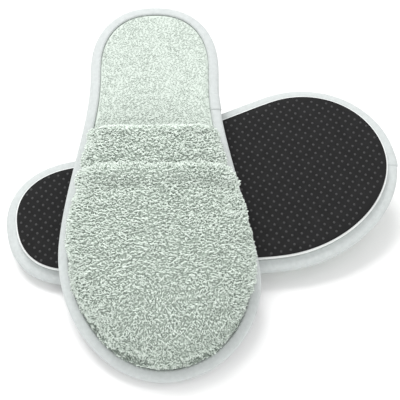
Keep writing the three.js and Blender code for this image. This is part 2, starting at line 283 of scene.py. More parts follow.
@dataclass(frozen=True)
class Placement:
    """Where a slipper lies, read from the frame.

    Attributes:
        origin: Its heel tip on the outsole's underside, in metres in the row frame.
        axes: Rows are its x, y and z directions.
        hand: 1, or -1 where the shape is mirrored left to right.
    """

    origin: Array
    axes: Array
    hand: float

    @classmethod
    def from_frame(cls, pair: Pair, flex_x: float, flex_z: float, hand: float) -> "Placement":
        """Finds the slipper's frame: y is its flex axis, z the normal of its flat outsole skin.

        Args:
            pair: Which slipper.
            flex_x: Distance of the flex axis from the heel, mm.
            flex_z: Height of the flex axis over the outsole, mm.
            hand: 1, or -1 for the mirrored foot.

        Returns:
            The placement.
        """
        joint = next(j for j in frame["joints"] if j["name"] == f"{pair.value}_sole_flex")
        across = unit(np.array(joint["axis"], float))
        skin = node_points(f"{pair.value}_outsole_skin")
        up = np.linalg.svd(skin - skin.mean(axis=0), full_matrices=False)[2][2]
        up = unit(up - (up @ across) * across)
        inward = node_points(f"{pair.value}_insole_terry").mean(axis=0) - skin.mean(axis=0)
        up = up if float(up @ inward) > 0 else -up
        along = np.cross(across, up)
        hinge = np.array(joint["pos_m"], float)
        origin = hinge - along * flex_x * MM - up * flex_z * MM
        return cls(origin, np.stack([along, across, up]), hand)

    def to_row(self, points: Array) -> Array:
        """Slipper millimetres to row-frame metres.

        Args:
            points: Places, (..., 3).

        Returns:
            The same places in the row frame.
        """
        return self.origin + (points * np.array([1.0, self.hand, 1.0]) * MM) @ self.axes


def node_points(node: str) -> Array:
    """Reads a CAD node's vertices.

    Args:
        node: Name of the node.

    Returns:
        Places in the row frame, (n, 3), in metres.
    """
    mesh = frame["nodes"][node].data
    flat = np.empty(len(mesh.vertices) * 3, np.float32)
    mesh.vertices.foreach_get("co", flat)
    return flat.reshape(-1, 3).astype(float)


@dataclass(frozen=True)
class Outline:
    """The sole's outline over the binding, in millimetres.

    Each side is a quarter of a superellipse round the heel, an eased flank that draws in at the
    waist, and a quarter of a superellipse round the toe, and the whole drifts to one side with the
    square of its length. The flank's half width eases from the heel's to the ball's with 3t^2 - 2t^3,
    less a waist that goes with (1 - (2t - 1)^4)^2.
    """

    length: float = 250.0
    ball_width: float = 120.0
    heel_width: float = 82.6
    heel_round: float = 46.8
    ball_outer: float = 187.5
    ball_inner: float = 173.0
    heel_fullness: float = 2.25
    toe_fullness: float = 1.97
    toe_drift: float = 4.2
    waist_outer: float = 2.4
    waist_inner: float = 0.8
    tip_share: float = 0.8
    samples: int = 1600
    nudge: float = 0.004

    def at(self, run: Array) -> Array:
        """Points of the outline.

        Args:
            run: 0 at the heel, 1 at the toe, 2 at the heel again round the other side.

        Returns:
            Places, (..., 2).
        """
        lap = np.mod(run, 2.0)
        side = np.where(lap <= 1, 1.0, -1.0)
        share = np.where(lap <= 1, lap, 2 - lap)
        ball = np.where(side > 0, self.ball_outer, self.ball_inner)
        heel_half, ball_half = self.heel_width / 2, self.ball_width / 2
        heel = self.tip_share * (self.heel_round + heel_half)
        flank = ball - self.heel_round
        toe = self.tip_share * (self.length - ball + ball_half)
        whole = heel + flank + toe
        heel_end, flank_end = heel / whole, (heel + flank) / whole
        turn = np.clip(share / heel_end, 0, 1) * math.pi / 2
        heel_x = self.heel_round * (1 - np.abs(np.cos(turn)) ** (2 / self.heel_fullness))
        heel_y = heel_half * np.abs(np.sin(turn)) ** (2 / self.heel_fullness)
        part = np.clip((share - heel_end) / (flank_end - heel_end), 0, 1)
        flank_x = self.heel_round + (ball - self.heel_round) * part
        waist = np.where(side > 0, self.waist_outer, self.waist_inner) * (1 - (2 * part - 1) ** 4) ** 2
        flank_y = heel_half + (ball_half - heel_half) * ease(part) - waist
        turn = np.clip((1 - share) / (1 - flank_end), 0, 1) * math.pi / 2
        toe_x = ball + (self.length - ball) * np.abs(np.cos(turn)) ** (2 / self.toe_fullness)
        toe_y = ball_half * np.abs(np.sin(turn)) ** (2 / self.toe_fullness)
        place = np.where(share < heel_end, 0, np.where(share < flank_end, 1, 2))
        x = np.choose(place, [heel_x, flank_x, toe_x])
        half = np.choose(place, [heel_y, flank_y, toe_y])
        lean = np.maximum(0, (x - self.heel_round) / (self.length - self.heel_round))
        return np.stack([x, side * half + self.toe_drift * lean * lean], axis=-1)

    def inset(self, run: Array, inset: Array | float) -> Array:
        """Points of the outline moved squarely in from it.

        Args:
            run: As for at().
            inset: Distance in from the outline, mm.

        Returns:
            Places, (..., 2).
        """
        along = unit(self.at(run + self.nudge) - self.at(run - self.nudge))
        inward = np.stack([along[..., 1], -along[..., 0]], axis=-1)
        return self.at(run) + inward * np.asarray(inset)[..., None]

    def even_runs(self, count: int) -> Array:
        """Runs that lie at equal distances round the outline.

        Args:
            count: How many.

        Returns:
            Runs from 0 up to, and without, 2.
        """
        run = np.linspace(0, 2, self.samples + 1)
        gone = np.concatenate([[0], np.cumsum(np.linalg.norm(np.diff(self.at(run), axis=0), axis=1))])
        return np.interp(np.arange(count) / count * gone[-1], gone, run)

    def perimeter(self, inset: float = 0.0) -> float:
        """Length round the outline at an inset, mm."""
        line = self.inset(np.linspace(0, 2, self.samples + 1), inset)
        return float(np.linalg.norm(np.diff(line, axis=0), axis=1).sum())

    def tips(self, inset: float) -> tuple[float, float]:
        """The least and the greatest x of the outline at an inset."""
        x = self.inset(np.array([0.0, 1.0]), inset)[:, 0]
        return float(x[0]), float(x[1])

    def side_y(self, side: int, x: Array, inset: float) -> Array:
        """The y of one side of the outline at given x, read from a table of its points.

        Args:
            side: 1 or -1.
            x: Distances from the heel, mm.
            inset: Distance in from the outline, mm.

        Returns:
            One y for each x.
        """
        line = self.inset(np.linspace(0 if side > 0 else 2, 1, self.samples), inset)
        rising = np.maximum.accumulate(line[:, 0])
        return np.interp(x, rising, line[:, 1])


@dataclass(frozen=True)
class Levels:
    """Heights over the outsole's underside and insets from the outline, mm, as the CAD has them."""

    skin_top: float = 0.7
    foam_base: float = 1.0
    foam_top: float = 4.4
    tape_base: float = 4.7
    board_base: float = 5.8
    board_top: float = 6.6
    cushion_base: float = 6.9
    cushion_top: float = 8.4
    cloth_base: float = 8.7
    cloth_top: float = 9.5
    tape_top: float = 10.6
    pile_top: float = 10.9
    upper_base: float = 11.2
    skin_inset: float = 7.8
    foam_inset: float = 6.8
    tape_under: float = 8.6
    tape_over: float = 6.6
    bound_inset: float = 2.6
    upper_inset: float = 7.1
    gap: float = 0.3
    flex_x: float = 86.0
    flex_above: float = 0.1
    bend_behind: float = 24.0
    bend_ahead: float = 6.0


@dataclass(frozen=True)
class Upper:
    """The closed upper's arch over the foot, mm, as the CAD has it."""

    outline: Outline = Outline()
    levels: Levels = Levels()
    opening_x: float = 95.0
    opening_bow: float = 10.0
    hem_width: float = 26.5
    height: float = 35.0
    bulge_outer: float = 9.0
    bulge_inner: float = 3.0
    bulge_at_hem: float = 0.1
    bulge_full: float = 160.0
    bulge_end: float = 215.0
    bulge_reach: float = 1.25
    thick: float = 6.8
    side_power: float = 0.85
    toe_power: float = 2.2
    least_depth: float = -4.0
    most_depth: float = 12.0

    def tip(self, depth: float) -> float:
        """The x of the upper's tip at a depth."""
        return self.outline.tips(self.levels.upper_inset + depth)[1]

    def at(self, along: Array, depth: Array, turn: Array) -> Array:
        """Points of the arch.

        Over each x the arch is a rounded hoop between the two sides of the inset outline: y goes
        with the cosine of the turn to the power 0.85, plus a swell on the flanks, and z with its
        sine, and the hoop's height dies away to the toe with the cube of the distance.

        Args:
            along: Distance from the hem towards the toe, mm.
            depth: Distance inward from the outer face, mm; it is the same along each row.
            turn: 0 on one side of the sole, pi on the other.

        Returns:
            Places, (..., 3).
        """
        along, depth, turn = np.broadcast_arrays(along, depth, turn)
        ends = (self.least_depth, self.most_depth)
        tip_x = np.interp(depth, ends, [self.tip(end) for end in ends])
        x = np.minimum(self.opening_x + along, tip_x)
        share = np.clip((x - self.opening_x) / (tip_x - self.opening_x), 0, 1)
        left, right = (self._side(side, x, depth) for side in (1, -1))
        half = np.where(share < 1, (left - right) / 2, 0)
        hoop = (self.height - depth) * (1 - share ** 3) ** (1 / self.toe_power)
        rise = np.sin(turn)
        faded = np.maximum(0, (x - self.opening_x) / (self.bulge_end - self.opening_x)) ** 3
        aside = np.sign(np.cos(turn))
        grown = np.clip((x - self.opening_x) / (self.bulge_full - self.opening_x), 0, 1)
        eased = self.bulge_at_hem + (1 - self.bulge_at_hem) * ease(grown)
        swell = np.where(aside > 0, self.bulge_outer, self.bulge_inner) * eased * np.maximum(0, 1 - faded)
        sideways = aside * np.abs(np.cos(turn)) ** self.side_power
        puff = aside * swell * np.sin(np.minimum(rise * self.bulge_reach, 1) * math.pi)
        y = (left + right) / 2 + half * sideways + puff
        bowed = x + self.opening_bow * (1 - share) * rise ** 2
        return np.stack([bowed, y, self.levels.upper_base + hoop * rise], axis=-1)

    def _side(self, side: int, x: Array, depth: Array) -> Array:
        """The inset outline's y, read between tables made at a few depths.

        Args:
            side: 1 or -1.
            x: Distances from the heel, mm.
            depth: Distances inward, mm, from the least to the most.

        Returns:
            One y for each x.
        """
        stops = np.linspace(self.least_depth, self.most_depth, 9)
        insets = self.levels.upper_inset + stops
        tables = np.stack([self.outline.side_y(side, x, inset) for inset in insets])
        place = np.clip((depth - stops[0]) / (stops[1] - stops[0]), 0, len(stops) - 1.001)
        low = place.astype(int)
        share = place - low
        below = np.take_along_axis(tables, low[None], axis=0)[0]
        above = np.take_along_axis(tables, low[None] + 1, axis=0)[0]
        return below * (1 - share) + above * share


@dataclass(frozen=True)
class Press:
    """How the ground flattens the upper of the slipper that lies on it, as the CAD has it, mm."""

    place: Placement
    softness: float = 2.5
    least: float = 0.35

    def apply(self, points: Array, outer: Array, base: float) -> Array:
        """Sinks each point by as much as the outer face over it needs to stay above the ground.

        A height h under the softness s becomes (h + s)^2 / 4s, and nothing sinks to less than the
        least share of its height over the insole.

        Args:
            points: Places in the slipper's frame, (..., 3).
            outer: The places over them on the outer face, (..., 3).
            base: Height of the insole, mm.

        Returns:
            The pressed places.
        """
        ground = self.place.to_row(outer)[..., 2] / MM
        kept = np.maximum(0, ground + self.softness) ** 2 / (4 * self.softness)
        sunk = points[..., 2] + (kept - ground) / self.place.axes[2, 2]
        floor = base + self.least * (points[..., 2] - base)
        pressed = points.copy()
        pressed[..., 2] = np.where(ground < self.softness, np.maximum(sunk, floor), points[..., 2])
        return pressed


# ---- Finishes ----


class Recipe:
    """A material's node tree, built step by step round one Principled shader."""

    def __init__(self, name: str) -> None:
        """Starts an empty material.

        Args:
            name: Name of the material.
        """
        self.material = bpy.data.materials.new(name)
        self.material.use_nodes = True
        self.nodes = self.material.node_tree.nodes
        self.links = self.material.node_tree.links
        self.shader = self.nodes["Principled BSDF"]

    def add(self, kind: str, inputs: dict | None = None, **settings: object) -> bpy.types.Node:
        """Adds a node.

        Args:
            kind: Its Blender type without the ShaderNode prefix.
            inputs: Input name or number to a value, or to a socket to link from.
            settings: Properties of the node.

        Returns:
            The node.
        """
        node = self.nodes.new("ShaderNode" + kind)
        for key, value in settings.items():
            setattr(node, key, value)
        for key, value in (inputs or {}).items():
            if isinstance(value, bpy.types.NodeSocket):
                self.links.new(value, node.inputs[key])
            else:
                node.inputs[key].default_value = value
        return node

    def place(self) -> bpy.types.NodeSocket:
        """Object coordinates."""
        return self.add("TexCoord").outputs["Object"]

    def cloth(self) -> bpy.types.NodeSocket:
        """The piece's own UV map, in millimetres of cloth."""
        return self.add("UVMap", uv_map="cloth").outputs["UV"]

    def tone(self) -> bpy.types.NodeSocket:
        """The number on each vertex."""
        return self.add("Attribute", attribute_name="tone").outputs["Fac"]

    def noise(self, where: bpy.types.NodeSocket, scale: float, detail: float = 2.0) -> bpy.types.NodeSocket:
        """A noise pattern's value.

        Args:
            where: Coordinates.
            scale: Features in each unit of the coordinates.
            detail: Octaves.

        Returns:
            Its output.
        """
        return self.add("TexNoise", {"Vector": where, "Scale": scale, "Detail": detail}).outputs["Fac"]

    def ramp(self, factor: bpy.types.NodeSocket,
             stops: Sequence[tuple[float, Colour]]) -> bpy.types.NodeSocket:
        """Turns a value into a colour.

        Args:
            factor: The value.
            stops: Places and colours, in order.

        Returns:
            The colour.
        """
        node = self.add("ValToRGB", {"Fac": factor})
        ramp = node.color_ramp
        while len(ramp.elements) < len(stops):
            ramp.elements.new(1.0)
        for element, (where, colour) in zip(ramp.elements, stops):
            element.position = where
            element.color = (*colour, 1.0)
        return node.outputs["Color"]

    def math(self, operation: str, *values: object) -> bpy.types.NodeSocket:
        """A sum, product or other operation on two or three numbers or sockets."""
        return self.add("Math", dict(enumerate(values)), operation=operation).outputs[0]

    def bump(self, height: bpy.types.NodeSocket, depth: float, strength: float = 1.0) -> None:
        """Gives the shader a bump.

        Args:
            height: The pattern.
            depth: Depth of the pattern, mm.
            strength: From 0 to 1.
        """
        node = self.add("Bump", {"Height": height, "Distance": depth * MM, "Strength": strength})
        self.links.new(node.outputs["Normal"], self.shader.inputs["Normal"])

    def finish(self, colour: bpy.types.NodeSocket, **constants: float) -> bpy.types.Material:
        """Links the colour and sets the shader's constants.

        Args:
            colour: Base colour.
            constants: Socket names in lower case with underscores, and their values.

        Returns:
            The material.
        """
        self.links.new(colour, self.shader.inputs["Base Color"])
        for key, value in constants.items():
            self.shader.inputs[key.replace("_", " ").title().replace("Ior", "IOR")].default_value = value
        return self.material


@dataclass(frozen=True)
class TerryFinish:
    """Cotton terry: pale strands, with painted shade darkening their roots and a painted highlight lightening
    their crests.
    """

    name: str
    root: Colour
    body: Colour
    crest: Colour
    mottle: float = 0.16
    body_at: float = 0.42
    patches: float = 260.0
    strands: float = 2600.0

    def material(self) -> bpy.types.Material:
        """Builds the material: the tone sets the colour, mottled by noise, and fine noise the relief.

        Returns:
            The material.
        """
        recipe = Recipe(self.name)
        where = recipe.place()
        patchy = recipe.noise(where, self.patches, 3.0)
        strand = recipe.noise(where, self.strands, 2.0)
        uneven = recipe.math("MULTIPLY_ADD", patchy, self.mottle, -self.mottle / 2)
        level = recipe.math("ADD", recipe.tone(), uneven)
        colour = recipe.ramp(level, [(0.0, self.root), (self.body_at, self.body), (1.0, self.crest)])
        recipe.bump(strand, 0.12, 0.5)
        return recipe.finish(colour, roughness=0.95, specular_ior_level=0.2,
                             sheen_weight=0.15, sheen_roughness=0.6)


@dataclass(frozen=True)
class TapeFinish:
    """Woven edge tape: fine ribs along it crossed by finer threads, both in millimetres apart."""

    name: str
    low: Colour
    high: Colour
    rib: float = 0.55
    thread: float = 0.4
    mottle: float = 420.0

    def material(self) -> bpy.types.Material:
        """Builds the material: soft noise and the weave set the colour, and the weave the relief.

        Returns:
            The material.
        """
        recipe = Recipe(self.name)
        cloth = recipe.cloth()
        ribs, threads = (
            recipe.add("TexWave", {"Vector": cloth, "Scale": 1 / spacing / 3.14, "Distortion": wander},
                       bands_direction=way).outputs["Fac"]
            for spacing, wander, way in ((self.rib, 0.3, "Y"), (self.thread, 0.4, "X")))
        weave = recipe.math("MULTIPLY", ribs, threads)
        soft = recipe.math("MULTIPLY", recipe.noise(recipe.place(), self.mottle, 4.0), 0.7)
        mixed = recipe.math("ADD", soft, recipe.math("MULTIPLY", weave, 0.3))
        colour = recipe.ramp(mixed, [(0.1, self.low), (0.85, self.high)])
        recipe.bump(weave, 0.1, 0.8)
        return recipe.finish(colour, roughness=0.62, specular_ior_level=0.35,
                             sheen_weight=0.12, sheen_roughness=0.5)


@dataclass(frozen=True)
class GrainFinish:
    """A material with a two-scale grain: foam, board, felt, rubberised cloth or thread."""

    name: str
    low: Colour
    high: Colour
    coarse: float
    fine: float
    depth: float
    roughness: float = 0.9
    specular: float = 0.3
    cells: bool = False

    def material(self) -> bpy.types.Material:
        """Builds the material: coarse noise sets the colour, and fine noise or cells the relief.

        Returns:
            The material.
        """
        recipe = Recipe(self.name)
        where = recipe.place()
        coarse = recipe.noise(where, self.coarse, 4.0)
        if self.cells:
            fine = recipe.add("TexVoronoi", {"Vector": where, "Scale": self.fine}).outputs["Distance"]
        else:
            fine = recipe.noise(where, self.fine, 3.0)
        broad = recipe.math("MULTIPLY", coarse, 0.6)
        mixed = recipe.math("ADD", broad, recipe.math("MULTIPLY", fine, 0.4))
        colour = recipe.ramp(mixed, [(0.25, self.low), (0.75, self.high)])
        recipe.bump(fine, self.depth, 0.7)
        return recipe.finish(colour, roughness=self.roughness, specular_ior_level=self.specular)


@dataclass
class Wardrobe:
    """Every finish of the slippers, each made once."""

    # In both terry finishes the root colour is painted shade at the loops' feet and the crest colour a
    # painted highlight on their tops.
    terry: TerryFinish = TerryFinish(
        "sage_terry", root=(0.25, 0.30, 0.26), body=(0.70, 0.78, 0.71), crest=(0.82, 0.89, 0.83))
    insole: TerryFinish = TerryFinish(
        "insole_terry", root=(0.56, 0.615, 0.57), body=(0.60, 0.665, 0.61), crest=(0.63, 0.69, 0.64),
        mottle=0.1)
    tape: TapeFinish = TapeFinish("edge_tape", low=(0.47, 0.50, 0.495), high=(0.62, 0.655, 0.65))
    lining: GrainFinish = GrainFinish(
        "lining_felt", low=(0.62, 0.66, 0.63), high=(0.78, 0.81, 0.79), coarse=90.0, fine=1400.0, depth=0.1)
    wadding: GrainFinish = GrainFinish(
        "wadding", low=(0.80, 0.80, 0.78), high=(0.92, 0.92, 0.90), coarse=200.0, fine=900.0, depth=0.4)
    foam: GrainFinish = GrainFinish(
        "white_foam", low=(0.70, 0.72, 0.71), high=(0.84, 0.86, 0.85), coarse=150.0, fine=1500.0,
        depth=0.12, roughness=0.8, cells=True)
    board: GrainFinish = GrainFinish(
        "grey_board", low=(0.36, 0.34, 0.29), high=(0.55, 0.52, 0.46), coarse=60.0, fine=1200.0, depth=0.05)
    skin: GrainFinish = GrainFinish(
        "black_skin", low=(0.006, 0.006, 0.0062), high=(0.014, 0.014, 0.0145), coarse=180.0, fine=1800.0,
        depth=0.06, roughness=0.8, specular=0.2)
    dot: GrainFinish = GrainFinish(
        "grip_rubber", low=(0.024, 0.024, 0.025), high=(0.042, 0.042, 0.043), coarse=300.0, fine=2500.0,
        depth=0.03, roughness=0.55)
    thread: GrainFinish = GrainFinish(
        "sewing_thread", low=(0.52, 0.57, 0.54), high=(0.68, 0.73, 0.70), coarse=400.0, fine=5000.0,
        depth=0.05, roughness=0.7)
    made: dict[str, bpy.types.Material] = field(default_factory=dict)

    def dress(self, piece: bpy.types.Object, finish: "TerryFinish | TapeFinish | GrainFinish") -> None:
        """Gives a piece its material.

        Args:
            piece: The piece.
            finish: One of the fields above.
        """
        if finish.name not in self.made:
            self.made[finish.name] = finish.material()
        piece.data.materials.clear()
        piece.data.materials.append(self.made[finish.name])


# ---- Sub-assemblies ----


@dataclass
class SubAssembly:
    """What every sub-assembly of a slipper knows: which slipper, its place and its finishes.

    All the sizes of the sub-assemblies are in millimetres.
    """

    pair: Pair
    place: Placement
    wardrobe: Wardrobe
    outline: Outline = Outline()
    levels: Levels = Levels()

    @property
    def tag(self) -> str:
        """The slipper's prefix."""
        return self.pair.value

    def bend(self, piece: bpy.types.Object) -> bpy.types.Object:
        """Bakes a piece's place into its mesh; the ends of a bend from the heel to the front are worked out
        but not used.

        Args:
            piece: A finished mesh.

        Returns:
            The same piece.
        """
        levels = self.levels
        start, end = (tuple(self.place.to_row(np.array([levels.flex_x + x, 0.0, levels.pile_top])))
                      for x in (-levels.bend_behind, levels.bend_ahead))
        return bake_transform(piece)

    def stand_for(self, piece: bpy.types.Object, part: str, slot: str) -> None:
        """Hides both ends' CAD nodes of one layer behind the piece.

        Args:
            piece: The new piece; not used.
            part: The nodes' name after the slipper's prefix and the end's tag.
            slot: The record's material slot; not used.
        """
        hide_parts(*(f"{self.tag}{end.value}_{part}" for end in End))


@dataclass
class Sole(SubAssembly):
    """The flat layers from the dotted skin to the insole's pile, heel to toe in one piece each."""

    stations: int = 150
    columns: int = 24
    skin_round: tuple[float, float] = (0.3, 0.25)
    foam_round: tuple[float, float] = (0.35, 0.4)
    foam_wall: float = 1.0
    foam_undercut: float = 0.9
    foam_taper: float = 1.3
    cushion_round: tuple[float, float] = (0.4, 0.7)
    cushion_fill: float = 0.9
    cloth_round: float = 0.5
    # cloth_tone: the insole cloth's tone under its loops, below their body tone, as painted shade between the
    # loops.
    cloth_tone: float = 0.35
    cloth_edge: float = 5.0
    pile_end: float = 128.0
    pile_sunk: float = 0.6
    pile_margin: float = 0.7
    wale: float = 5.2
    dot_pitch: float = 6.0
    dot_radius: float = 0.85
    dot_height: float = 0.15
    dot_sunk: float = 0.3
    dot_margin: float = 1.6
    dot_start: float = 1.5
    dot_sides: int = 8

    def stations_along(self) -> Array:
        """Shares of a layer's length, closer together at both tips: (1 - cos) / 2 of even turns."""
        return (1 - np.cos(np.linspace(0, math.pi, self.stations))) / 2

    def side_line(self, side: int, inset: float, height: float) -> Array:
        """One side of a layer.

        Args:
            side: 1 or -1.
            inset: Distance in from the outline, mm.
            height: Height over the outsole's underside, mm.

        Returns:
            Places, (stations, 3).
        """
        low, high = self.outline.tips(inset)
        x = low + (high - low) * self.stations_along()
        return np.stack([x, self.outline.side_y(side, x, inset), np.full_like(x, height)], axis=-1)

    def flat_face(self, inset: float, height: float, order: Array) -> Array:
        """A flat face between a layer's two sides: their middle plus shares of half their distance.

        Args:
            inset: Distance in from the outline, mm.
            height: Height over the outsole's underside, mm.
            order: Shares from -1 to 1, one for each column.

        Returns:
            Places, (stations, columns, 3).
        """
        left, right = (self.side_line(side, inset, height) for side in (1, -1))
        middle, half = (left + right) / 2, (left - right) / 2
        return middle[:, None] + half[:, None] * order[None, :, None]

    def layer(self, profile: Profile) -> Skin:
        """A flat layer: rings across the sole, each out over the top and back under the bottom.

        Args:
            profile: Inset and height up the layer's edge, from its bottom to its top.

        Returns:
            The skin. It closes in a point or a short line at each tip.
        """
        across = np.linspace(-1, 1, self.columns)
        walls = profile[1:-1]
        up = [self.side_line(1, *step)[:, None] for step in walls]
        down = [self.side_line(-1, *step)[:, None] for step in reversed(walls)]
        bottom, top = self.flat_face(*profile[0], across), self.flat_face(*profile[-1], -across)
        rings = np.concatenate([bottom, *up, top, *down], axis=1)
        points = rings.reshape(-1, 3)
        return Skin(points, loft_faces(*rings.shape[:2]), uv=points[:, :2].copy())

    def make_layer(self, name: str, part: str, slot: str, finish: GrainFinish | TerryFinish,
                   profile: Profile, tone: float | None = None) -> bpy.types.Object:
        """Makes one layer, dresses it and hides the CAD nodes it stands for.

        Args:
            name: Its name after the slipper's prefix.
            part: The CAD nodes it stands for.
            slot: Its material slot.
            finish: Its finish.
            profile: Inset and height up its edge.
            tone: The same number for all its vertices, or None.

        Returns:
            The piece.
        """
        skin = self.layer(profile)
        if tone is not None:
            skin.tone = np.full(len(skin.points), tone)
        piece = close_seams(skin.to_object(f"{self.tag}_{name}", self.place))
        self.wardrobe.dress(piece, finish)
        self.stand_for(piece, part, slot)
        return self.bend(piece)

    def dots(self) -> bpy.types.Object:
        """Rubber dots in staggered rows along the sole, each a low dome from inside the skin outwards.

        Returns:
            The piece.
        """
        pitch, sides, margin = self.dot_pitch, self.dot_sides, self.levels.skin_inset + self.dot_margin
        reach = int(0.6 * self.outline.ball_width / (pitch / 2))
        row, place = np.meshgrid(np.arange(-reach, reach + 1),
                                 np.arange(math.ceil(self.outline.length / pitch)), indexing="ij")
        x = (place + 0.5 * (row % 2)) * pitch + self.dot_start
        y = row * pitch / 2
        low, high = self.outline.tips(margin)
        inside = (x > low) & (x < high)
        inside &= (y < self.outline.side_y(1, x, margin)) & (y > self.outline.side_y(-1, x, margin))
        centres = np.stack([x[inside], y[inside], np.zeros(int(inside.sum()))], axis=-1)
        turn = np.arange(sides) / sides * 2 * math.pi
        rim = np.stack([np.cos(turn), np.sin(turn)], axis=-1)
        dome = np.stack([
            np.concatenate([rim * radius * self.dot_radius, np.full((sides, 1), height)], axis=1)
            for radius, height in ((0.02, self.dot_sunk), (1.0, self.dot_sunk), (1.0, -0.02),
                                   (0.72, -0.75 * self.dot_height), (0.02, -self.dot_height))])
        count = dome.shape[0] * sides
        points = (centres[:, None] + dome.reshape(1, -1, 3)).reshape(-1, 3)
        ends = np.array([[0, 1, 2, 3], [0, 3, 4, 5], [0, 5, 6, 7]])
        one = np.concatenate([loft_faces(dome.shape[0], sides), ends[:, ::-1], ends + count - sides])
        faces = (one[None] + np.arange(len(centres))[:, None, None] * count).reshape(-1, 4)
        piece = Skin(points, faces).to_object(f"{self.tag}_grip_dots", self.place)
        self.wardrobe.dress(piece, self.wardrobe.dot)
        return self.bend(piece)

    def build(self) -> None:
        """Makes every layer from the ground up, the dots and the insole's pile."""
        levels, wardrobe = self.levels, self.wardrobe
        inward, up = self.skin_round
        skin = [(levels.skin_inset + inward, 0.0), (levels.skin_inset, up),
                (levels.skin_inset, levels.skin_top)]
        self.make_layer("sole_skin", "outsole_skin", "non_slip_skin", wardrobe.skin, skin)
        inward, up = self.foam_round
        foam = [(levels.foam_inset + inward, levels.foam_base), (levels.foam_inset, levels.foam_base + up),
                (levels.foam_inset, levels.foam_base + self.foam_wall),
                (levels.foam_inset + self.foam_undercut, levels.foam_top - self.foam_taper),
                (levels.foam_inset + self.foam_taper, levels.foam_top)]
        self.make_layer("sole_foam", "outsole_foam", "outsole_foam", wardrobe.foam, foam)
        core = levels.tape_under + levels.gap
        board = [(core, levels.tape_base), (core, levels.board_base),
                 (levels.bound_inset, levels.board_base), (levels.bound_inset, levels.board_top)]
        self.make_layer("board", "insole_board", "stiffening_board", wardrobe.board, board)
        inward, up = self.cushion_round
        cushion = [(levels.bound_inset + inward, levels.cushion_base),
                   (levels.bound_inset, levels.cushion_base + up),
                   (levels.bound_inset + inward, levels.cushion_top)]
        pad = self.make_layer("insole_cushion", "insole_foam", "insole_foam", wardrobe.foam, cushion)
        pile_inset = levels.tape_over + levels.gap
        cloth = [(levels.bound_inset, levels.cloth_base), (levels.bound_inset, levels.cloth_top),
                 (pile_inset, levels.cloth_top),
                 (pile_inset + self.cloth_round, levels.pile_top - self.cloth_round)]
        # The insole cloth takes a tone below the loops' body tone: painted shade between the loops.
        ground = self.make_layer("insole_cloth", "insole_terry", "insole_terry", wardrobe.insole, cloth,
                                 tone=self.cloth_tone)
        self.dots()
        self.lay_cloth(ground, self.insole_loops())

    def lay_cloth(self, ground: bpy.types.Object, loops: bpy.types.Object) -> None:
        """Args:
            ground: The cloth; not used.
            loops: Its pile; not used.
        """
        face = surface_area(self.insole_surface(0.0, self.outline.length))
        area = face + self.outline.perimeter(self.levels.bound_inset) * self.cloth_edge

    def insole_loops(self) -> bpy.types.Object:
        """Short loops on the insole, from the heel to a little way under the upper, in faint wales.

        Returns:
            The piece.
        """
        pile = Pile(seed=51, spacing=1.08, yarn=0.27, height=0.42, width=1.7, lean=0.5, across=0.0)
        loops = pile.grow(self.insole_surface(0.0, self.pile_end), (100.0, 0.0, -300.0), tall=self.ribbed)
        piece = loops.to_object(f"{self.tag}_insole_loops", self.place)
        self.wardrobe.dress(piece, self.wardrobe.insole)
        return self.bend(piece)

    def ribbed(self, root: Array) -> Array:
        """A height factor that waves with the sine of x, once for each wale."""
        return 1 + 0.08 * np.sin(root[:, 0] * 2 * math.pi / self.wale)

    def insole_surface(self, x_from: float, x_to: float, step: float = 1.0) -> Array:
        """The insole's face as a grid, (rows, columns, 3).

        Args:
            x_from: Where it starts, mm from the heel; the heel's tip is the least.
            x_to: Where it ends.
            step: Distance between its rows.

        Returns:
            Places.
        """
        inset = self.levels.tape_over + self.levels.gap + self.pile_margin
        low, high = self.outline.tips(inset)
        x = np.linspace(max(low, x_from), min(high, x_to), int((x_to - x_from) / step))
        left, right = (self.outline.side_y(side, x, inset) for side in (1, -1))
        across = np.linspace(-1, 1, 70)[None]
        y = ((left + right) / 2)[:, None] + ((left - right) / 2)[:, None] * across
        height = np.full(y.shape, self.levels.pile_top - self.pile_sunk)
        return np.stack([np.broadcast_to(x[:, None], y.shape), y, height], axis=-1)


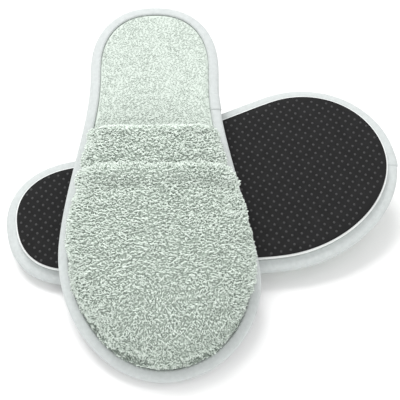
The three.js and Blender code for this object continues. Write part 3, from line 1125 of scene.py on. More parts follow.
@dataclass
class Binding(SubAssembly):
    """The edge tape folded round the sole's rim, with its lap and its stitches."""

    stations: int = 460
    lap_run: float = 0.3
    lap_length: float = 11.0
    lap_stations: int = 14
    lap_swell: float = 0.5
    lap_settled: float = 0.1
    thick: float = 0.8
    roundness: float = 0.8
    pucker: float = 0.09
    lap_pucker: float = 0.05
    thread_radius: float = 0.16
    stitch_pitch: float = 3.0
    stitch_length: float = 2.0
    stitch_over: float = 0.9
    stitch_under: float = 1.1
    stitch_sunk: float = 0.05

    def section(self, swell: float = 0.0) -> tuple[Array, Array]:
        """Insets and heights across the tape's outer face, from under the edge to over it.

        The face is half of a superellipse: the inset goes with one less the cosine, the height
        with the sine, both to the power of its roundness.

        Args:
            swell: How far the face stands out further, mm.

        Returns:
            Two arrays of the same length.
        """
        levels = self.levels
        turn = np.linspace(-math.pi / 2, math.pi / 2, 19)
        width = np.where(turn < 0, levels.tape_under, levels.tape_over) + swell
        half = (levels.tape_top - levels.tape_base) / 2
        inset = width * (1 - np.abs(np.cos(turn)) ** self.roundness) - swell
        rise = np.sign(np.sin(turn)) * np.abs(np.sin(turn)) ** self.roundness
        height = half + levels.tape_base + rise * (half + swell)
        return inset, height

    def wrap(self, runs: Array, outer: tuple[Array, Array], inner: tuple[Array, Array],
             ripple: float) -> Array:
        """Carries the tape's section round the outline.

        Args:
            runs: Stations round the outline.
            outer: Insets and heights of the outer face.
            inner: The same for the inner face.
            ripple: Size of the tape's faint pucker, mm.

        Returns:
            Rings, (stations, points, 3).
        """
        inset = np.concatenate([outer[0], inner[0][::-1]])
        height = np.concatenate([outer[1], inner[1][::-1]])
        flat = self.outline.inset(*np.broadcast_arrays(runs[:, None], inset[None]))
        rings = np.concatenate([flat, np.broadcast_to(height, flat.shape[:2])[..., None]], axis=-1)
        noise = SmoothNoise(11 if self.pair is Pair.TOP else 12)
        wave = noise.waves(rings, (0.6, 3.2), (0.4, 1.3), shift=50.0)
        middle = (self.levels.tape_base + self.levels.tape_top) / 2
        rings[..., 2] += ripple * wave * np.clip((rings[..., 2] - middle) / 1.6, -1, 1)
        return rings

    def build(self) -> None:
        """Makes the tape, its lap and its two rows of stitches."""
        runs = self.outline.even_runs(self.stations)
        outer, inner = self.section(), self.section(-self.thick)
        rings = self.wrap(runs, outer, inner, self.pucker)
        gone = np.arange(self.stations) * self.outline.perimeter() / self.stations
        steps = np.hypot(np.diff(outer[0]), np.diff(outer[1]))
        across = np.concatenate([[0], np.cumsum(steps)])
        across = np.concatenate([across, across[::-1]])
        uv = np.stack(np.broadcast_arrays(gone[:, None], across[None]), axis=-1).reshape(-1, 2)
        skin = Skin(rings.reshape(-1, 3), loft_faces(*rings.shape[:2], round_trip=True), uv=uv)
        tape = skin.to_object(f"{self.tag}_edge_tape", self.place)
        self.wardrobe.dress(tape, self.wardrobe.tape)
        self.stand_for(tape, "edge_binding", "binding_tape")
        self.bend(tape)
        lap, stitches = self.lap(), self.stitches()
        self.bend(lap)
        self.bend(stitches)
        flat = (float(steps.sum()) * MM, self.outline.perimeter(self.levels.tape_over / 2) * MM)

    def lap(self) -> bpy.types.Object:
        """The tape's end, folded under and sewn over its start: a short second layer.

        It grows out of the tape over its first two thirds and drops off steeply at its end.

        Returns:
            The piece.
        """
        count = self.lap_stations
        reach = self.lap_length / self.outline.perimeter() * 2
        runs = np.linspace(self.lap_run, self.lap_run + reach, count)
        inner = self.section(-self.lap_settled)
        raised = self.wrap(runs, self.section(self.lap_swell), inner, self.lap_pucker)
        settled = self.wrap(runs, self.section(self.lap_settled), inner, self.lap_pucker)
        step = np.arange(count)
        eased = np.clip(np.minimum(step / 9, step[::-1] / 1.2), 0, 1)
        rings = settled + (raised - settled) * eased[:, None, None]
        columns = rings.shape[1]
        across = np.linspace(0, columns // 2 - 1, columns // 2)
        gone = np.linspace(0, self.lap_length, count)
        across = np.concatenate([across, across[::-1]])
        uv = np.stack(np.broadcast_arrays(gone[:, None], across[None]), axis=-1).reshape(-1, 2)
        faces = np.concatenate([loft_faces(count, columns), strip_cap(0, columns, False),
                                strip_cap(count - 1, columns, True)])
        piece = Skin(rings.reshape(-1, 3), faces, uv=uv).to_object(f"{self.tag}_tape_lap", self.place)
        self.wardrobe.dress(piece, self.wardrobe.tape)
        return piece

    def stitches(self) -> bpy.types.Object:
        """Sewing stitches along the tape's inner edges, above and below, sunk into the cloth.

        Returns:
            The piece.
        """
        levels, rows = self.levels, []
        for inset, height in ((levels.tape_over - self.stitch_over, levels.tape_top - self.stitch_sunk),
                              (levels.tape_under - self.stitch_under, levels.tape_base + self.stitch_sunk)):
            count = int(self.outline.perimeter(inset) / self.stitch_pitch)
            runs = self.outline.even_runs(count)
            reach = self.stitch_length / self.outline.perimeter() * 2
            lift = np.full((count, 1), height)
            starts, ends = (np.concatenate([self.outline.inset(run, inset), lift], axis=1)
                            for run in (runs, runs + reach))
            rows.append(stitch_row(starts, ends, self.thread_radius))
        points = np.concatenate([row.points for row in rows])
        faces = np.concatenate([rows[0].faces, rows[1].faces + len(rows[0].points)])
        piece = Skin(points, faces).to_object(f"{self.tag}_tape_stitches", self.place)
        self.wardrobe.dress(piece, self.wardrobe.thread)
        return piece


def tubes(paths: Array, radius: Array, sides: int = 3) -> tuple[Array, Array]:
    """Closed tubes round many short paths at once.

    Each path point carries a ring square to the path, and the ends are closed with a fan or face.

    Args:
        paths: Points, (tubes, steps, 3).
        radius: Radius at each step, (steps,) or (tubes, steps).
        sides: Sides of each tube, 3 or 4.

    Returns:
        Points (n, 3) and faces (m, 4).
    """
    count, steps, _ = paths.shape
    along = unit(np.gradient(paths, axis=1))
    reference = np.where(np.abs(along[:, :1, 2:3]) > 0.8, [1.0, 0.0, 0.0], [0.0, 0.0, 1.0])
    first = unit(np.cross(along, np.broadcast_to(reference, along.shape)))
    second = np.cross(along, first)
    turn = np.arange(sides) / sides * 2 * math.pi
    spread = np.broadcast_to(radius, (count, steps))[..., None, None]
    ring = first[:, :, None] * np.cos(turn)[:, None] + second[:, :, None] * np.sin(turn)[:, None]
    points = (paths[:, :, None] + ring * spread).reshape(-1, 3)
    one = loft_faces(steps, sides)
    if sides == 4:
        ends = np.array([[3, 2, 1, 0], [0, 1, 2, 3]]) + np.array([[0], [(steps - 1) * sides]])
        one = np.concatenate([one, ends])
    faces = (one[None] + (np.arange(count) * steps * sides)[:, None, None]).reshape(-1, 4)
    return points, faces


def stitch_row(starts: Array, ends: Array, radius: float) -> Skin:
    """A row of stitches: short threads that rise a little between their two ends.

    Args:
        starts: Where each stitch goes in, (n, 3), mm.
        ends: Where it comes out.
        radius: Radius of the thread, mm.

    Returns:
        The skin.
    """
    share = np.linspace(0, 1, 5)[None, :, None]
    paths = starts[:, None] * (1 - share) + ends[:, None] * share
    paths = paths + np.array([0.0, 0.0, 1.0]) * (np.sin(share * math.pi) - 0.4) * radius * 1.6
    return Skin(*tubes(paths, np.array([0.6, 1.0, 1.0, 1.0, 0.6]) * radius, sides=4))


@dataclass(frozen=True)
class Pile:
    """Terry loops standing on a cloth: bent strands of yarn, in millimetres.

    Attributes:
        spacing: Side of the square of cloth that each loop has.
        yarn: Radius of the strand.
        height: How high a loop rises.
        width: How far it travels across the cloth.
        lean: How far its top leans over.
        across: How strongly loops run across the slipper, against 0.5 for chance.
        fan_from: The x from which loops turn outwards, as they do round the toe.
        fan_run: How far it takes them to turn.
        fan: How strongly they turn.
        tuft: Size of the tufts in which neighbours lean together.
        sunk: How deep a loop's ends go into the cloth.
        lift: Added to the tone; on the hem's roll it lightens the loops as a painted highlight.
        shaded_tone: Share of its tone that a loop in a crease keeps.
        seed: Seed of the random numbers.
    """

    spacing: float = 1.12
    yarn: float = 0.34
    height: float = 1.8
    width: float = 2.6
    lean: float = 1.2
    across: float = 1.3
    fan_from: float = 190.0
    fan_run: float = 30.0
    fan: float = 2.2
    tuft: float = 5.5
    sunk: float = 0.35
    lift: float = 0.0
    shaded_tone: float = 0.1
    seed: int = 1

    def scatter(self, surface: Array, behind: Sequence[float],
                draw: np.random.Generator) -> tuple[Array, Array]:
        """Picks places on a surface, as many for each square millimetre everywhere.

        Cells are picked at even steps of their summed areas, and a place in each cell by chance.

        Args:
            surface: A grid of points, (rows, columns, 3).
            behind: A point behind the surface.
            draw: Source of the random numbers.

        Returns:
            Roots and normals, each (n, 3).
        """
        step_row, step_column = surface[1:, :-1] - surface[:-1, :-1], surface[:-1, 1:] - surface[:-1, :-1]
        square = np.cross(step_row, step_column)
        gone = np.cumsum(np.linalg.norm(square, axis=-1).ravel())
        count = int(gone[-1] / self.spacing ** 2)
        picks = np.searchsorted(gone, (np.arange(count) + draw.uniform(0, 1, count)) / count * gone[-1])
        picks = np.minimum(picks, len(gone) - 1)
        row, column = np.divmod(picks, surface.shape[1] - 1)
        share = draw.uniform(0, 1, (count, 2))
        root = surface[row, column] + step_row[row, column] * share[:, :1]
        root = root + step_column[row, column] * share[:, 1:]
        normal = unit(square)[row, column]
        return root, normal * np.sign(float((normal * (root - np.array(behind))).sum()))

    def grow(self, surface: Array, behind: Sequence[float], tall: Callable[[Array], Array] | None = None,
             shade: Callable[[Array], Array] | None = None) -> Skin:
        """Grows loops over a surface.

        A loop rises with the sine of its run and travels across its width, and leans the way that
        smooth noise gives, so that neighbours lie together in tufts.

        Args:
            surface: A grid of points, (rows, columns, 3).
            behind: A point behind the surface; the loops stand on its other side.
            tall: Gives each place a height factor, or None for 1.
            shade: Gives each place the share of its loops that stay in a crease's shade, or None.

        Returns:
            The loops, with tone 0 at their roots, a painted shade, and up to 1 at their crests, a painted
            highlight.
        """
        draw = np.random.default_rng(self.seed)
        root, normal = self.scatter(surface, behind, draw)
        count = len(root)
        noise = SmoothNoise(self.seed + 7)
        drift = np.stack([noise.at(root + shift, self.tuft) for shift in (0.0, 31.0, 67.0)], axis=-1)
        lean = drift * 1.5 + draw.normal(0, 0.6, (count, 3))
        lean -= (lean * normal).sum(axis=-1, keepdims=True) * normal
        side = np.where(draw.uniform(0, 1, (count, 1)) < 0.5, -1.0, 1.0)
        heading = draw.normal(0, 0.5, (count, 3)) + drift + side * np.array([0.0, self.across, 0.0])
        fan = np.clip((root[:, :1] - self.fan_from) / self.fan_run, 0, 1) * self.fan
        heading = heading + fan * unit((root - np.array(behind)) * np.array([1.0, 1.0, 0.0]))
        heading = unit(heading - (heading * normal).sum(axis=-1, keepdims=True) * normal)
        stretched = (root + 90.0) * np.array([1.0, 0.4, 1.0])
        factor = 1 + 0.5 * noise.at(stretched, 1.9) + draw.uniform(-0.2, 0.2, count)
        if tall is not None:
            factor = factor * tall(root)
        run = np.array([0.0, 0.24, 0.5, 0.76, 1.0])
        rise = np.sin(run * math.pi)[None, :, None]
        height = factor[:, None, None]
        span = (run - 0.5)[None, :, None] * self.width * draw.uniform(0.6, 1.25, (count, 1, 1))
        paths = root[:, None] + heading[:, None] * span
        paths = paths + normal[:, None] * rise * self.height * height
        paths = paths + lean[:, None] * rise * self.lean * 0.6 * height
        paths = paths - normal[:, None] * self.sunk * (1 - rise)
        thick = self.yarn * np.array([0.8, 1.0, 1.1, 1.0, 0.8])[None] * draw.uniform(0.75, 1.2, (count, 1))
        points, faces = tubes(paths, thick)
        # Painted light: the tone is dark at the roots and light at the crests, and taller loops get a lighter
        # body tone, so tufts and ridges are painted lit and the gaps between them painted shaded.
        body = np.clip(0.5 + 0.45 * (factor - 1) + draw.normal(0, 0.05, count), 0.15, 0.85)
        tone = np.array([0.1, 0.75, 1.15, 0.75, 0.1])[None] * body[:, None] + self.lift
        if shade is not None:
            tone *= np.where(draw.uniform(0, 1, count) < shade(root), self.shaded_tone, 1.0)[:, None]
        return Skin(points, faces, tone=np.repeat(tone.ravel(), 3))


@dataclass(frozen=True)
class Inflation:
    """How the vamp's cloth is blown up.

    Attributes:
        rows: Rows of its coarse grid.
        columns: Columns of it.
        enlarged: How many times larger than life the solver sees it.
        open_toe: Share of the upper's length that the grid covers, so that its last row isn't a point.
        pinned_rows: Rows held at the toe.
        quality: Steps of the solver in each frame.
        mass: Mass of each vertex, kg.
        stretch: Stiffness in tension and compression.
        shear: Stiffness in shear.
        bending: Stiffness in bending.
        spare: Share of extra cloth.
        pressure: Pressure from within.
        frames: How long it blows.
        most: The furthest that a point may move, mm.
    """

    rows: int = 40
    columns: int = 44
    enlarged: float = 10.0
    open_toe: float = 0.985
    pinned_rows: int = 3
    quality: int = 6
    mass: float = 0.3
    stretch: float = 40.0
    shear: float = 8.0
    bending: float = 0.6
    spare: float = 0.02
    pressure: float = 0.1
    frames: int = 20
    most: float = 2.2

    def settle(self, name: str, points: Array) -> Array:
        """Blows up a grid held along its edges, with gravity off.

        Args:
            name: Name of the passing object.
            points: The grid, (rows, columns, 3), mm.

        Returns:
            How far each point moves, (rows * columns, 3), mm, before it is capped.
        """
        rest, size = points.reshape(-1, 3), MM * self.enlarged
        row, column = np.meshgrid(np.arange(self.rows - 1), np.arange(self.columns - 1), indexing="ij")
        first = row * self.columns + column
        corners = [first, first + 1, first + self.columns + 1, first + self.columns]
        mesh = bpy.data.meshes.new(name)
        mesh.from_pydata((rest * size).tolist(), [], np.stack(corners, axis=-1).reshape(-1, 4).tolist())
        cloth = bpy.data.objects.new(name, mesh)
        scene = bpy.context.scene
        scene.collection.objects.link(cloth)
        edge = np.zeros((self.rows, self.columns), bool)
        edge[0] = edge[-self.pinned_rows:] = True
        edge[:, [0, -1]] = True
        pinned = cloth.vertex_groups.new(name="seams")
        pinned.add(np.flatnonzero(edge.ravel()).tolist(), 1.0, "REPLACE")
        modifier = cloth.modifiers.new("cloth", "CLOTH")
        settings = modifier.settings
        settings.vertex_group_mass = pinned.name
        settings.quality = self.quality
        settings.mass = self.mass
        settings.tension_stiffness = settings.compression_stiffness = self.stretch
        settings.shear_stiffness = self.shear
        settings.bending_stiffness = self.bending
        settings.shrink_min = -self.spare
        settings.use_pressure = True
        settings.uniform_pressure_force = self.pressure
        settings.effector_weights.gravity = 0.0
        modifier.point_cache.frame_start = 1
        modifier.point_cache.frame_end = self.frames
        for step in range(1, self.frames + 1):
            scene.frame_set(step)
        shown = cloth.evaluated_get(bpy.context.evaluated_depsgraph_get())
        flat = np.empty(len(rest) * 3, np.float32)
        shown.data.vertices.foreach_get("co", flat)
        scene.frame_set(1)
        bpy.data.objects.remove(cloth)
        bpy.data.meshes.remove(mesh)
        return flat.reshape(-1, 3) / size - rest


@dataclass
class Vamp(SubAssembly):
    """The padded closed upper: terry over wadding over a lining, with its folded hem.

    The valley, the ridge and the hollow of its relief, and the growth of the loops on the ridge, are
    bell curves, each given by its height, its distance in front of the hem's seam, and its width.
    """

    upper: Upper = Upper()
    press: Press | None = None
    rows: int = 96
    columns: int = 120
    ground_depth: float = 0.9
    terry_thick: float = 2.8
    wadding_thick: float = 2.2
    lining_thick: float = 0.8
    lining_spare: float = 1.12
    layer_gap: float = 0.5
    valley: tuple[float, float, float] = (-2.4, 0.0, 3.0)
    ridge: tuple[float, float, float] = (2.4, 7.5, 4.5)
    hollow: tuple[float, float, float] = (-0.9, 17.0, 5.0)
    crest_growth: tuple[float, float, float] = (0.3, 9.0, 5.5)
    crease_height: float = 6.5
    crease_from: float = 160.0
    crease_run: float = 45.0
    crease_share: float = 0.62
    crease_flattens: float = 0.55
    # ground_tone: the cover's tone under the loops, below the loops' body tone, as painted shade between the
    # loops.
    ground_tone: float = 0.3
    inner_rows: int = 60
    inner_columns: int = 70
    hem_columns: int = 130
    stitch_pitch: float = 3.4
    stitch_length: float = 2.5
    thread_radius: float = 0.22
    puff: Array | None = None

    def shaped(self, along: Array, depth: Array, turn: Array) -> Array:
        """A point of the arch, pressed by the ground on the slipper that lies on it.

        Args:
            along: As for Upper.at.
            depth: As for Upper.at.
            turn: As for Upper.at.

        Returns:
            Places, (..., 3).
        """
        points = self.upper.at(along, depth, turn)
        if self.press is None:
            return points
        outer = self.upper.at(along, np.zeros_like(np.asarray(depth, float)), turn)
        return self.press.apply(points, outer, self.levels.upper_base)

    def grid(self, start: float, depth: float, rows: int, columns: int) -> tuple[Array, Array]:
        """Even stations over the arch: distances along it and turns across it.

        Args:
            start: Distance of the first row from the hem, mm.
            depth: Distance inward of the face, mm.
            rows: How many rows, closer together towards the toe.
            columns: How many columns.

        Returns:
            Along (rows, 1) and turn (1, columns).
        """
        length = self.upper.tip(depth) - self.upper.opening_x
        share = np.sin(np.linspace(0, 1, rows) * math.pi / 2)
        return (start + (length - start) * share)[:, None], np.linspace(0, math.pi, columns)[None]

    def relief(self, along: Array, turn: Array) -> Array:
        """How far the sewn upper stands out from the plain arch, mm.

        A valley where the hem is sewn down, and, away from the sides, a ridge of stuffing in front
        of it and a shallow hollow beyond.

        Args:
            along: Distances from the hem's rear edge.
            turn: Turns across the arch.

        Returns:
            One number for each point.
        """
        valley, ridge, hollow = (height * bell(along, self.upper.hem_width + ahead, width)
                                 for height, ahead, width in (self.valley, self.ridge, self.hollow))
        return valley + (ridge + hollow) * np.clip((np.sin(turn) - 0.25) * 2.2, 0, 1)

    def simulate(self) -> None:
        """Blows up the vamp's cloth from within, held along its seams, and keeps how far it moved.

        The cloth is a coarse grid of the arch. Pressure swells it, a little spare cloth puckers it
        along the seams, and the movement is capped.
        """
        air = Inflation()
        along, turn = self.grid(self.upper.hem_width, self.ground_depth, air.rows, air.columns)
        depth = np.full((air.rows, air.columns), self.ground_depth)
        move = air.settle(f"{self.tag}_cloth", self.upper.at(along * air.open_toe, depth, turn))
        size = np.linalg.norm(move, axis=1, keepdims=True)
        move *= np.minimum(1, air.most / np.maximum(size, 1e-9))
        self.puff = move.reshape(air.rows, air.columns, 3)
        LOG.info("%s cloth moved %.2f mm on average, %.2f mm at most and %.2f mm up", self.tag,
                 size.mean(), size.max(), move[:, 2].mean())

    def puffed(self, row: Array, column: Array) -> Array:
        """The cloth's movement at shares of its grid, blended between its four nearest points.

        Args:
            row: Shares of the way from the hem to the toe.
            column: Shares of the way across.

        Returns:
            Movements, (..., 3), mm.
        """
        row, column = np.broadcast_arrays(row, column)
        if self.puff is None:
            return np.zeros((*row.shape, 3))
        last_row, last_column = self.puff.shape[0] - 1, self.puff.shape[1] - 1
        place_row, place_column = row * last_row, column * last_column
        low_row = np.minimum(place_row.astype(int), last_row - 1)
        low_column = np.minimum(place_column.astype(int), last_column - 1)
        down, over = ease((place_row - low_row)[..., None]), ease((place_column - low_column)[..., None])
        above, below = (self.puff[line, low_column] * (1 - over) + self.puff[line, low_column + 1] * over
                        for line in (low_row, low_row + 1))
        return above * (1 - down) + below * down

    def face(self, depth: float, rows: int, columns: int, soft: float) -> Array:
        """One face of the vamp as a grid of points.

        Args:
            depth: Distance inward from the CAD's outer face, mm.
            rows: Rows from the hem's seam to the toe.
            columns: Columns across.
            soft: How much of the relief and of the cloth's movement the face takes, 0 to 1.

        Returns:
            Places, (rows, columns, 3).
        """
        along, turn = self.grid(self.upper.hem_width + 0.4, depth, rows, columns)
        out = depth - soft * self.relief(along, turn)
        points = self.upper.at(along, out, turn)
        share_row = np.linspace(0, 1, rows)[:, None]
        share_column = np.linspace(0, 1, columns)[None]
        points = points + soft * self.puffed(share_row, share_column)
        noise = SmoothNoise(21 if self.pair is Pair.TOP else 22)
        fade = np.clip(np.sin(turn) * 2.5, 0, 1) * np.clip((1 - share_row) * 5, 0, 1)
        points[..., 2] += soft * fade * noise.waves(points, (0.7, 17.0), (0.35, 7.0), shift=40.0)
        if self.press is None:
            return points
        outer = self.upper.at(along, np.minimum(out, 0.0) * np.ones_like(turn), turn)
        outer = outer + soft * self.puffed(share_row, share_column)
        return self.press.apply(points, outer, self.levels.upper_base)

    def shell(self, outer: Array, inner: Array) -> Skin:
        """A closed shell between two faces: rings out over one and back under the other.

        Args:
            outer: Grid of the outer face.
            inner: Grid of the inner face, with as many rows and columns.

        Returns:
            The skin.
        """
        rings = np.concatenate([outer, inner[:, ::-1]], axis=1)
        rows, columns = rings.shape[:2]
        faces = np.concatenate([loft_faces(rows, columns), strip_cap(0, columns, False)])
        flat = rings.reshape(-1, 3)
        # The cover takes the ground tone, lowered further towards the toe's crease: painted shade between the
        # loops and in the crease.
        return Skin(flat, faces, tone=self.ground_tone * (1 - self.crease(flat)))

    def make_shell(self, name: str, node: str, slot: str, finish: GrainFinish | TerryFinish,
                   outer: Array, inner: Array) -> bpy.types.Object:
        """Makes one layer of the upper, which rides on the front of the slipper.

        Args:
            name: Its name after the slipper's prefix.
            node: The CAD node it stands for.
            slot: Its material slot; not used.
            finish: Its finish.
            outer: Grid of its outer face.
            inner: Grid of its inner face.

        Returns:
            The piece.
        """
        skin = self.shell(outer, inner)
        piece = close_seams(skin.to_object(f"{self.tag}_{name}", self.place, floor=True))
        self.wardrobe.dress(piece, finish)
        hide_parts(f"{self.tag}_{node}")
        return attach(piece, f"{self.tag}_slipper")

    def crest(self, root: Array) -> Array:
        """How much taller loops are on the ridge, by a bell curve of x, and shorter in the crease.

        Args:
            root: Places, (n, 3).

        Returns:
            A height factor for each place.
        """
        growth, ahead, width = self.crest_growth
        ridge = self.upper.opening_x + self.upper.hem_width + ahead
        return 1 + growth * bell(root[:, 0], ridge, width) - self.crease_flattens * self.crease(root)

    def crease(self, root: Array) -> Array:
        """The share of loops in the shade of the crease round the toe: it fades upwards and heelwards.

        Args:
            root: Places, (n, 3).

        Returns:
            A share for each place.
        """
        low = np.clip(1.15 - (root[:, 2] - self.levels.upper_base) / self.crease_height, 0, 1)
        return self.crease_share * low * np.clip((root[:, 0] - self.crease_from) / self.crease_run, 0, 1)

    def make_pile(self, name: str, pile: Pile, surface: Array,
                  behind: Sequence[float] = (150.0, 0.0, 5.0)) -> bpy.types.Object:
        """Grows loops on a face of the upper and lets them ride with it.

        Args:
            name: Name after the slipper's prefix.
            pile: What the loops are like.
            surface: The face's grid.
            behind: A point behind the face; the middle of the shoe serves for the outer faces.

        Returns:
            The piece.
        """
        skin = pile.grow(surface, behind, tall=self.crest, shade=self.crease)
        piece = skin.to_object(f"{self.tag}_{name}", self.place, floor=True)
        self.wardrobe.dress(piece, self.wardrobe.terry)
        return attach(piece, f"{self.tag}_slipper")

    def build(self) -> None:
        """Makes the upper's layers from the outside in, its loops and its hem."""
        self.simulate()
        wardrobe, rows = self.wardrobe, self.rows
        inner = (self.inner_rows, self.inner_columns)
        outside = self.face(self.ground_depth, rows, self.columns, 1.0)
        inside = self.face(self.terry_thick, rows, self.columns, 0.5)
        cover = self.make_shell("vamp_cover", "upper_terry", "upper_terry", wardrobe.terry, outside, inside)
        depth = self.terry_thick + self.layer_gap
        wadding = self.make_shell("vamp_wadding", "upper_wadding", "wadding", wardrobe.wadding,
                                  self.face(depth, *inner, 0.4),
                                  self.face(depth + self.wadding_thick, *inner, 0.1))
        depth += self.wadding_thick + self.layer_gap
        cloth = self.face(depth, *inner, 0.0)
        lining = self.make_shell("vamp_lining", "upper_lining", "lining", wardrobe.lining,
                                 cloth, self.face(depth + self.lining_thick, *inner, 0.0))
        cuts = [0, int(rows * 0.22), int(rows * 0.47), rows]
        for zone, name in enumerate(("ridge", "instep", "toe")):
            patch = outside[cuts[zone] : cuts[zone + 1] + 1]
            self.make_pile(f"vamp_loops_{name}", Pile(seed=31 + zone), patch)
        self.hem()

    def hem_section(self, count: int = 30) -> tuple[Array, Array]:
        """The folded hem's section: distances along and depths, out over the top and back under.

        Its half thickness is round at the rolled rear edge, swells into a bead there, sinks
        behind the bead, and closes to the seam.

        Args:
            count: Points on each face.

        Returns:
            Along and depth, each of 2 * count numbers.
        """
        half, width = self.upper.thick / 2, self.upper.hem_width
        along = width * (1 - np.cos(np.linspace(0, 1, count) * math.pi / 2))
        roll = np.sqrt(np.clip(1 - (1 - np.minimum(along / half, 1)) ** 2, 0, 1))
        seam = -1.9 * bell(along, width, 3.2)
        bead, dip = 0.8 * bell(along, 2.6, 2.4), -0.35 * bell(along, 8.0, 3.0)
        outer = half - self.ground_depth * 0.6 + bead + dip + seam
        inner = half + 0.3 * seam
        depth_out, depth_in = half - outer * roll, half + inner * roll
        return np.concatenate([along[::-1], along]), np.concatenate([depth_out[::-1], depth_in])

    def hem(self) -> None:
        """Makes the hem band over the opening, its loops and its stitches."""
        along, depth = self.hem_section()
        turn = np.linspace(0, math.pi, self.hem_columns)[:, None]
        rings = self.shaped(along[None], depth[None] + 0 * turn, turn)
        noise = SmoothNoise(41 if self.pair is Pair.TOP else 42)
        fade = np.clip(np.sin(turn) * 3, 0, 1)
        rings[..., 2] += fade * noise.waves(rings, (0.55, 13.0), (0.3, 5.0), shift=30.0)
        count, columns, _ = rings.shape
        faces = np.concatenate([loft_faces(count, columns), strip_cap(0, columns, False),
                                strip_cap(count - 1, columns, True)])
        # The tone rises towards the rolled rear edge: a painted highlight on the roll.
        tone = self.ground_tone + 0.45 * bell(along, 0.0, 5.0)
        skin = Skin(rings.reshape(-1, 3), faces, tone=np.broadcast_to(tone, rings.shape[:2]).ravel())
        band = close_seams(skin.to_object(f"{self.tag}_hem_fold", self.place, floor=True))
        self.wardrobe.dress(band, self.wardrobe.terry)
        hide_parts(f"{self.tag}_hem_band")
        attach(band, f"{self.tag}_slipper")
        self.hem_loops(rings, columns // 2)
        self.hem_stitches()

    def hem_loops(self, rings: Array, half: int) -> None:
        """Grows the hem's loops: tall ones on the band, short ones on its roll and inside the opening.

        Args:
            rings: The band's rings, out over its top and back under it.
            half: How many of a ring's points lie on its top.
        """
        top = rings[:, :half][:, ::-1].transpose(1, 0, 2)
        under = rings[:, half : half + 18].transpose(1, 0, 2)[::-1]
        self.make_pile("hem_loops", Pile(seed=43, spacing=1.18, yarn=0.37, height=1.9), top[8:])
        # The roll's short loops get a lighter tone: a painted highlight on the roll.
        short = Pile(seed=44, spacing=1.0, yarn=0.3, height=0.5, width=1.8, lift=0.25)
        self.make_pile("hem_roll_loops", short, top[:9])
        low = Pile(seed=45, spacing=1.3, height=0.6, width=1.6)
        self.make_pile("hem_inside_loops", low, under, behind=(100.0, 0.0, 900.0))

    def hem_stitches(self) -> None:
        """Makes the row of stitches that holds the hem down, along the bottom of its valley."""
        fine = np.linspace(0.06, math.pi - 0.06, 1200)
        sewn = np.full_like(fine, self.upper.hem_width + 0.2)
        line = self.shaped(sewn, np.full_like(fine, 2.2), fine)
        gone = np.concatenate([[0], np.cumsum(np.linalg.norm(np.diff(line, axis=0), axis=1))])
        starts = np.arange(int(gone[-1] / self.stitch_pitch)) * self.stitch_pitch
        holes = (np.stack([np.interp(where, gone, axis) for axis in line.T], axis=-1)
                 for where in (starts, starts + self.stitch_length))
        skin = stitch_row(*holes, self.thread_radius)
        piece = skin.to_object(f"{self.tag}_hem_stitches", self.place, floor=True)
        self.wardrobe.dress(piece, self.wardrobe.thread)
        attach(piece, f"{self.tag}_slipper")


@dataclass
class Slipper:
    """One whole slipper of the pair."""

    pair: Pair
    wardrobe: Wardrobe
    lap_run: float
    levels: Levels = Levels()

    def build(self) -> None:
        """Places the slipper and builds its sole, its binding and its upper."""
        hand = 1.0 if self.pair is Pair.TOP else -1.0
        flex_z = self.levels.pile_top + self.levels.flex_above
        place = Placement.from_frame(self.pair, self.levels.flex_x, flex_z, hand)
        press = Press(place) if self.pair is Pair.UNDER else None
        Sole(self.pair, place, self.wardrobe).build()
        Binding(self.pair, place, self.wardrobe, lap_run=self.lap_run).build()
        Vamp(self.pair, place, self.wardrobe, press=press).build()
        LOG.info("%s slipper built", self.pair.value)


# ---- Stage ----


@dataclass(frozen=True)
class Lamp:
    """A square soft light aimed at the origin: where it stands and its size in metres, its power in watts."""

    name: str
    where: tuple[float, float, float]
    size: float
    power: float

    def build(self) -> None:
        """Makes the light."""
        light = bpy.data.lights.new(self.name, "AREA")
        light.energy = self.power
        light.size = self.size
        lamp = bpy.data.objects.new(self.name, light)
        lamp.location = self.where
        lamp.rotation_mode = "QUATERNION"
        lamp.rotation_quaternion = (-Vector(self.where)).to_track_quat("-Z", "Y")
        bpy.context.scene.collection.objects.link(lamp)


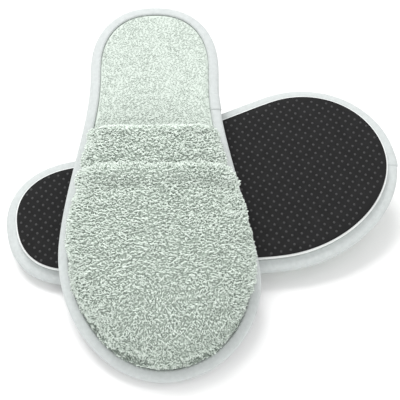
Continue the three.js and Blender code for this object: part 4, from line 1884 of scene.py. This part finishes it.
@dataclass(frozen=True)
class Studio:
    """A pale floor, soft lights and the camera."""

    elevation: float = 49.8
    lens: float = 90.0
    distance: float = 0.6666
    aim: tuple[float, float, float] = (-0.0019, 0.0241, -0.0035)
    floor_size: float = 6.0
    surround: float = 0.78
    lamps: tuple[Lamp, ...] = (
        Lamp("key", (-0.45, 0.85, 1.6), 1.1, 27.0),
        Lamp("fill", (0.3, -1.4, 1.2), 1.3, 11.0),
    )

    def build(self) -> None:
        """Makes the stage."""
        self.floor()
        self.lights()
        self.camera()

    def floor(self) -> None:
        """A plain pale floor under the object."""
        half = self.floor_size / 2
        mesh = bpy.data.meshes.new("floor")
        corners = [(-half, -half, 0), (half, -half, 0), (half, half, 0), (-half, half, 0)]
        mesh.from_pydata(corners, [], [(0, 1, 2, 3)])
        floor = bpy.data.objects.new("floor", mesh)
        bpy.context.scene.collection.objects.link(floor)
        recipe = Recipe("floor_white")
        patchy = recipe.noise(recipe.place(), 3.0)
        colour = recipe.ramp(patchy, [(0.0, (0.93, 0.93, 0.93)), (1.0, (0.95, 0.95, 0.95))])
        mesh.materials.append(recipe.finish(colour, roughness=0.9, specular_ior_level=0.1))
        floor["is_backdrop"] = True

    def lights(self) -> None:
        """Even light from all round, and a large soft light from above and behind."""
        scene = bpy.context.scene
        world = bpy.data.worlds.new("studio")
        scene.world = world
        world.use_nodes = True
        surround = world.node_tree.nodes["Background"]
        surround.inputs["Color"].default_value = (1.0, 1.0, 1.0, 1.0)
        surround.inputs["Strength"].default_value = self.surround
        for lamp in self.lamps:
            lamp.build()
        scene.view_settings.view_transform = "Standard"
        scene.view_settings.look = "None"

    def camera(self) -> None:
        """The camera, at its own elevation, looking along +Y at its aim."""
        rise = math.radians(self.elevation)
        back = Vector((0.0, -math.cos(rise), math.sin(rise)))
        data = bpy.data.cameras.new("camera")
        data.lens = self.lens
        data.sensor_width = 36.0
        data.clip_start, data.clip_end = 0.01, 20.0
        camera = bpy.data.objects.new("camera", data)
        camera.location = Vector(self.aim) + back * self.distance
        camera.rotation_mode = "QUATERNION"
        camera.rotation_quaternion = (-back).to_track_quat("-Z", "Y")
        bpy.context.scene.collection.objects.link(camera)
        bpy.context.scene.camera = camera


def main() -> None:
    """Builds the stage and the pair."""
    logging.basicConfig(level=logging.INFO, format="%(name)s: %(message)s")
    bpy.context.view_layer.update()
    Studio().build()
    wardrobe = Wardrobe()
    for pair, lap_run in ((Pair.UNDER, 1.0), (Pair.TOP, 0.291)):
        Slipper(pair, wardrobe, lap_run).build()
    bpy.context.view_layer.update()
    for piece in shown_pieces():
        LOG.info("%s: %d faces", piece.name, len(piece.data.polygons))


if __name__ == "__main__":
    main()
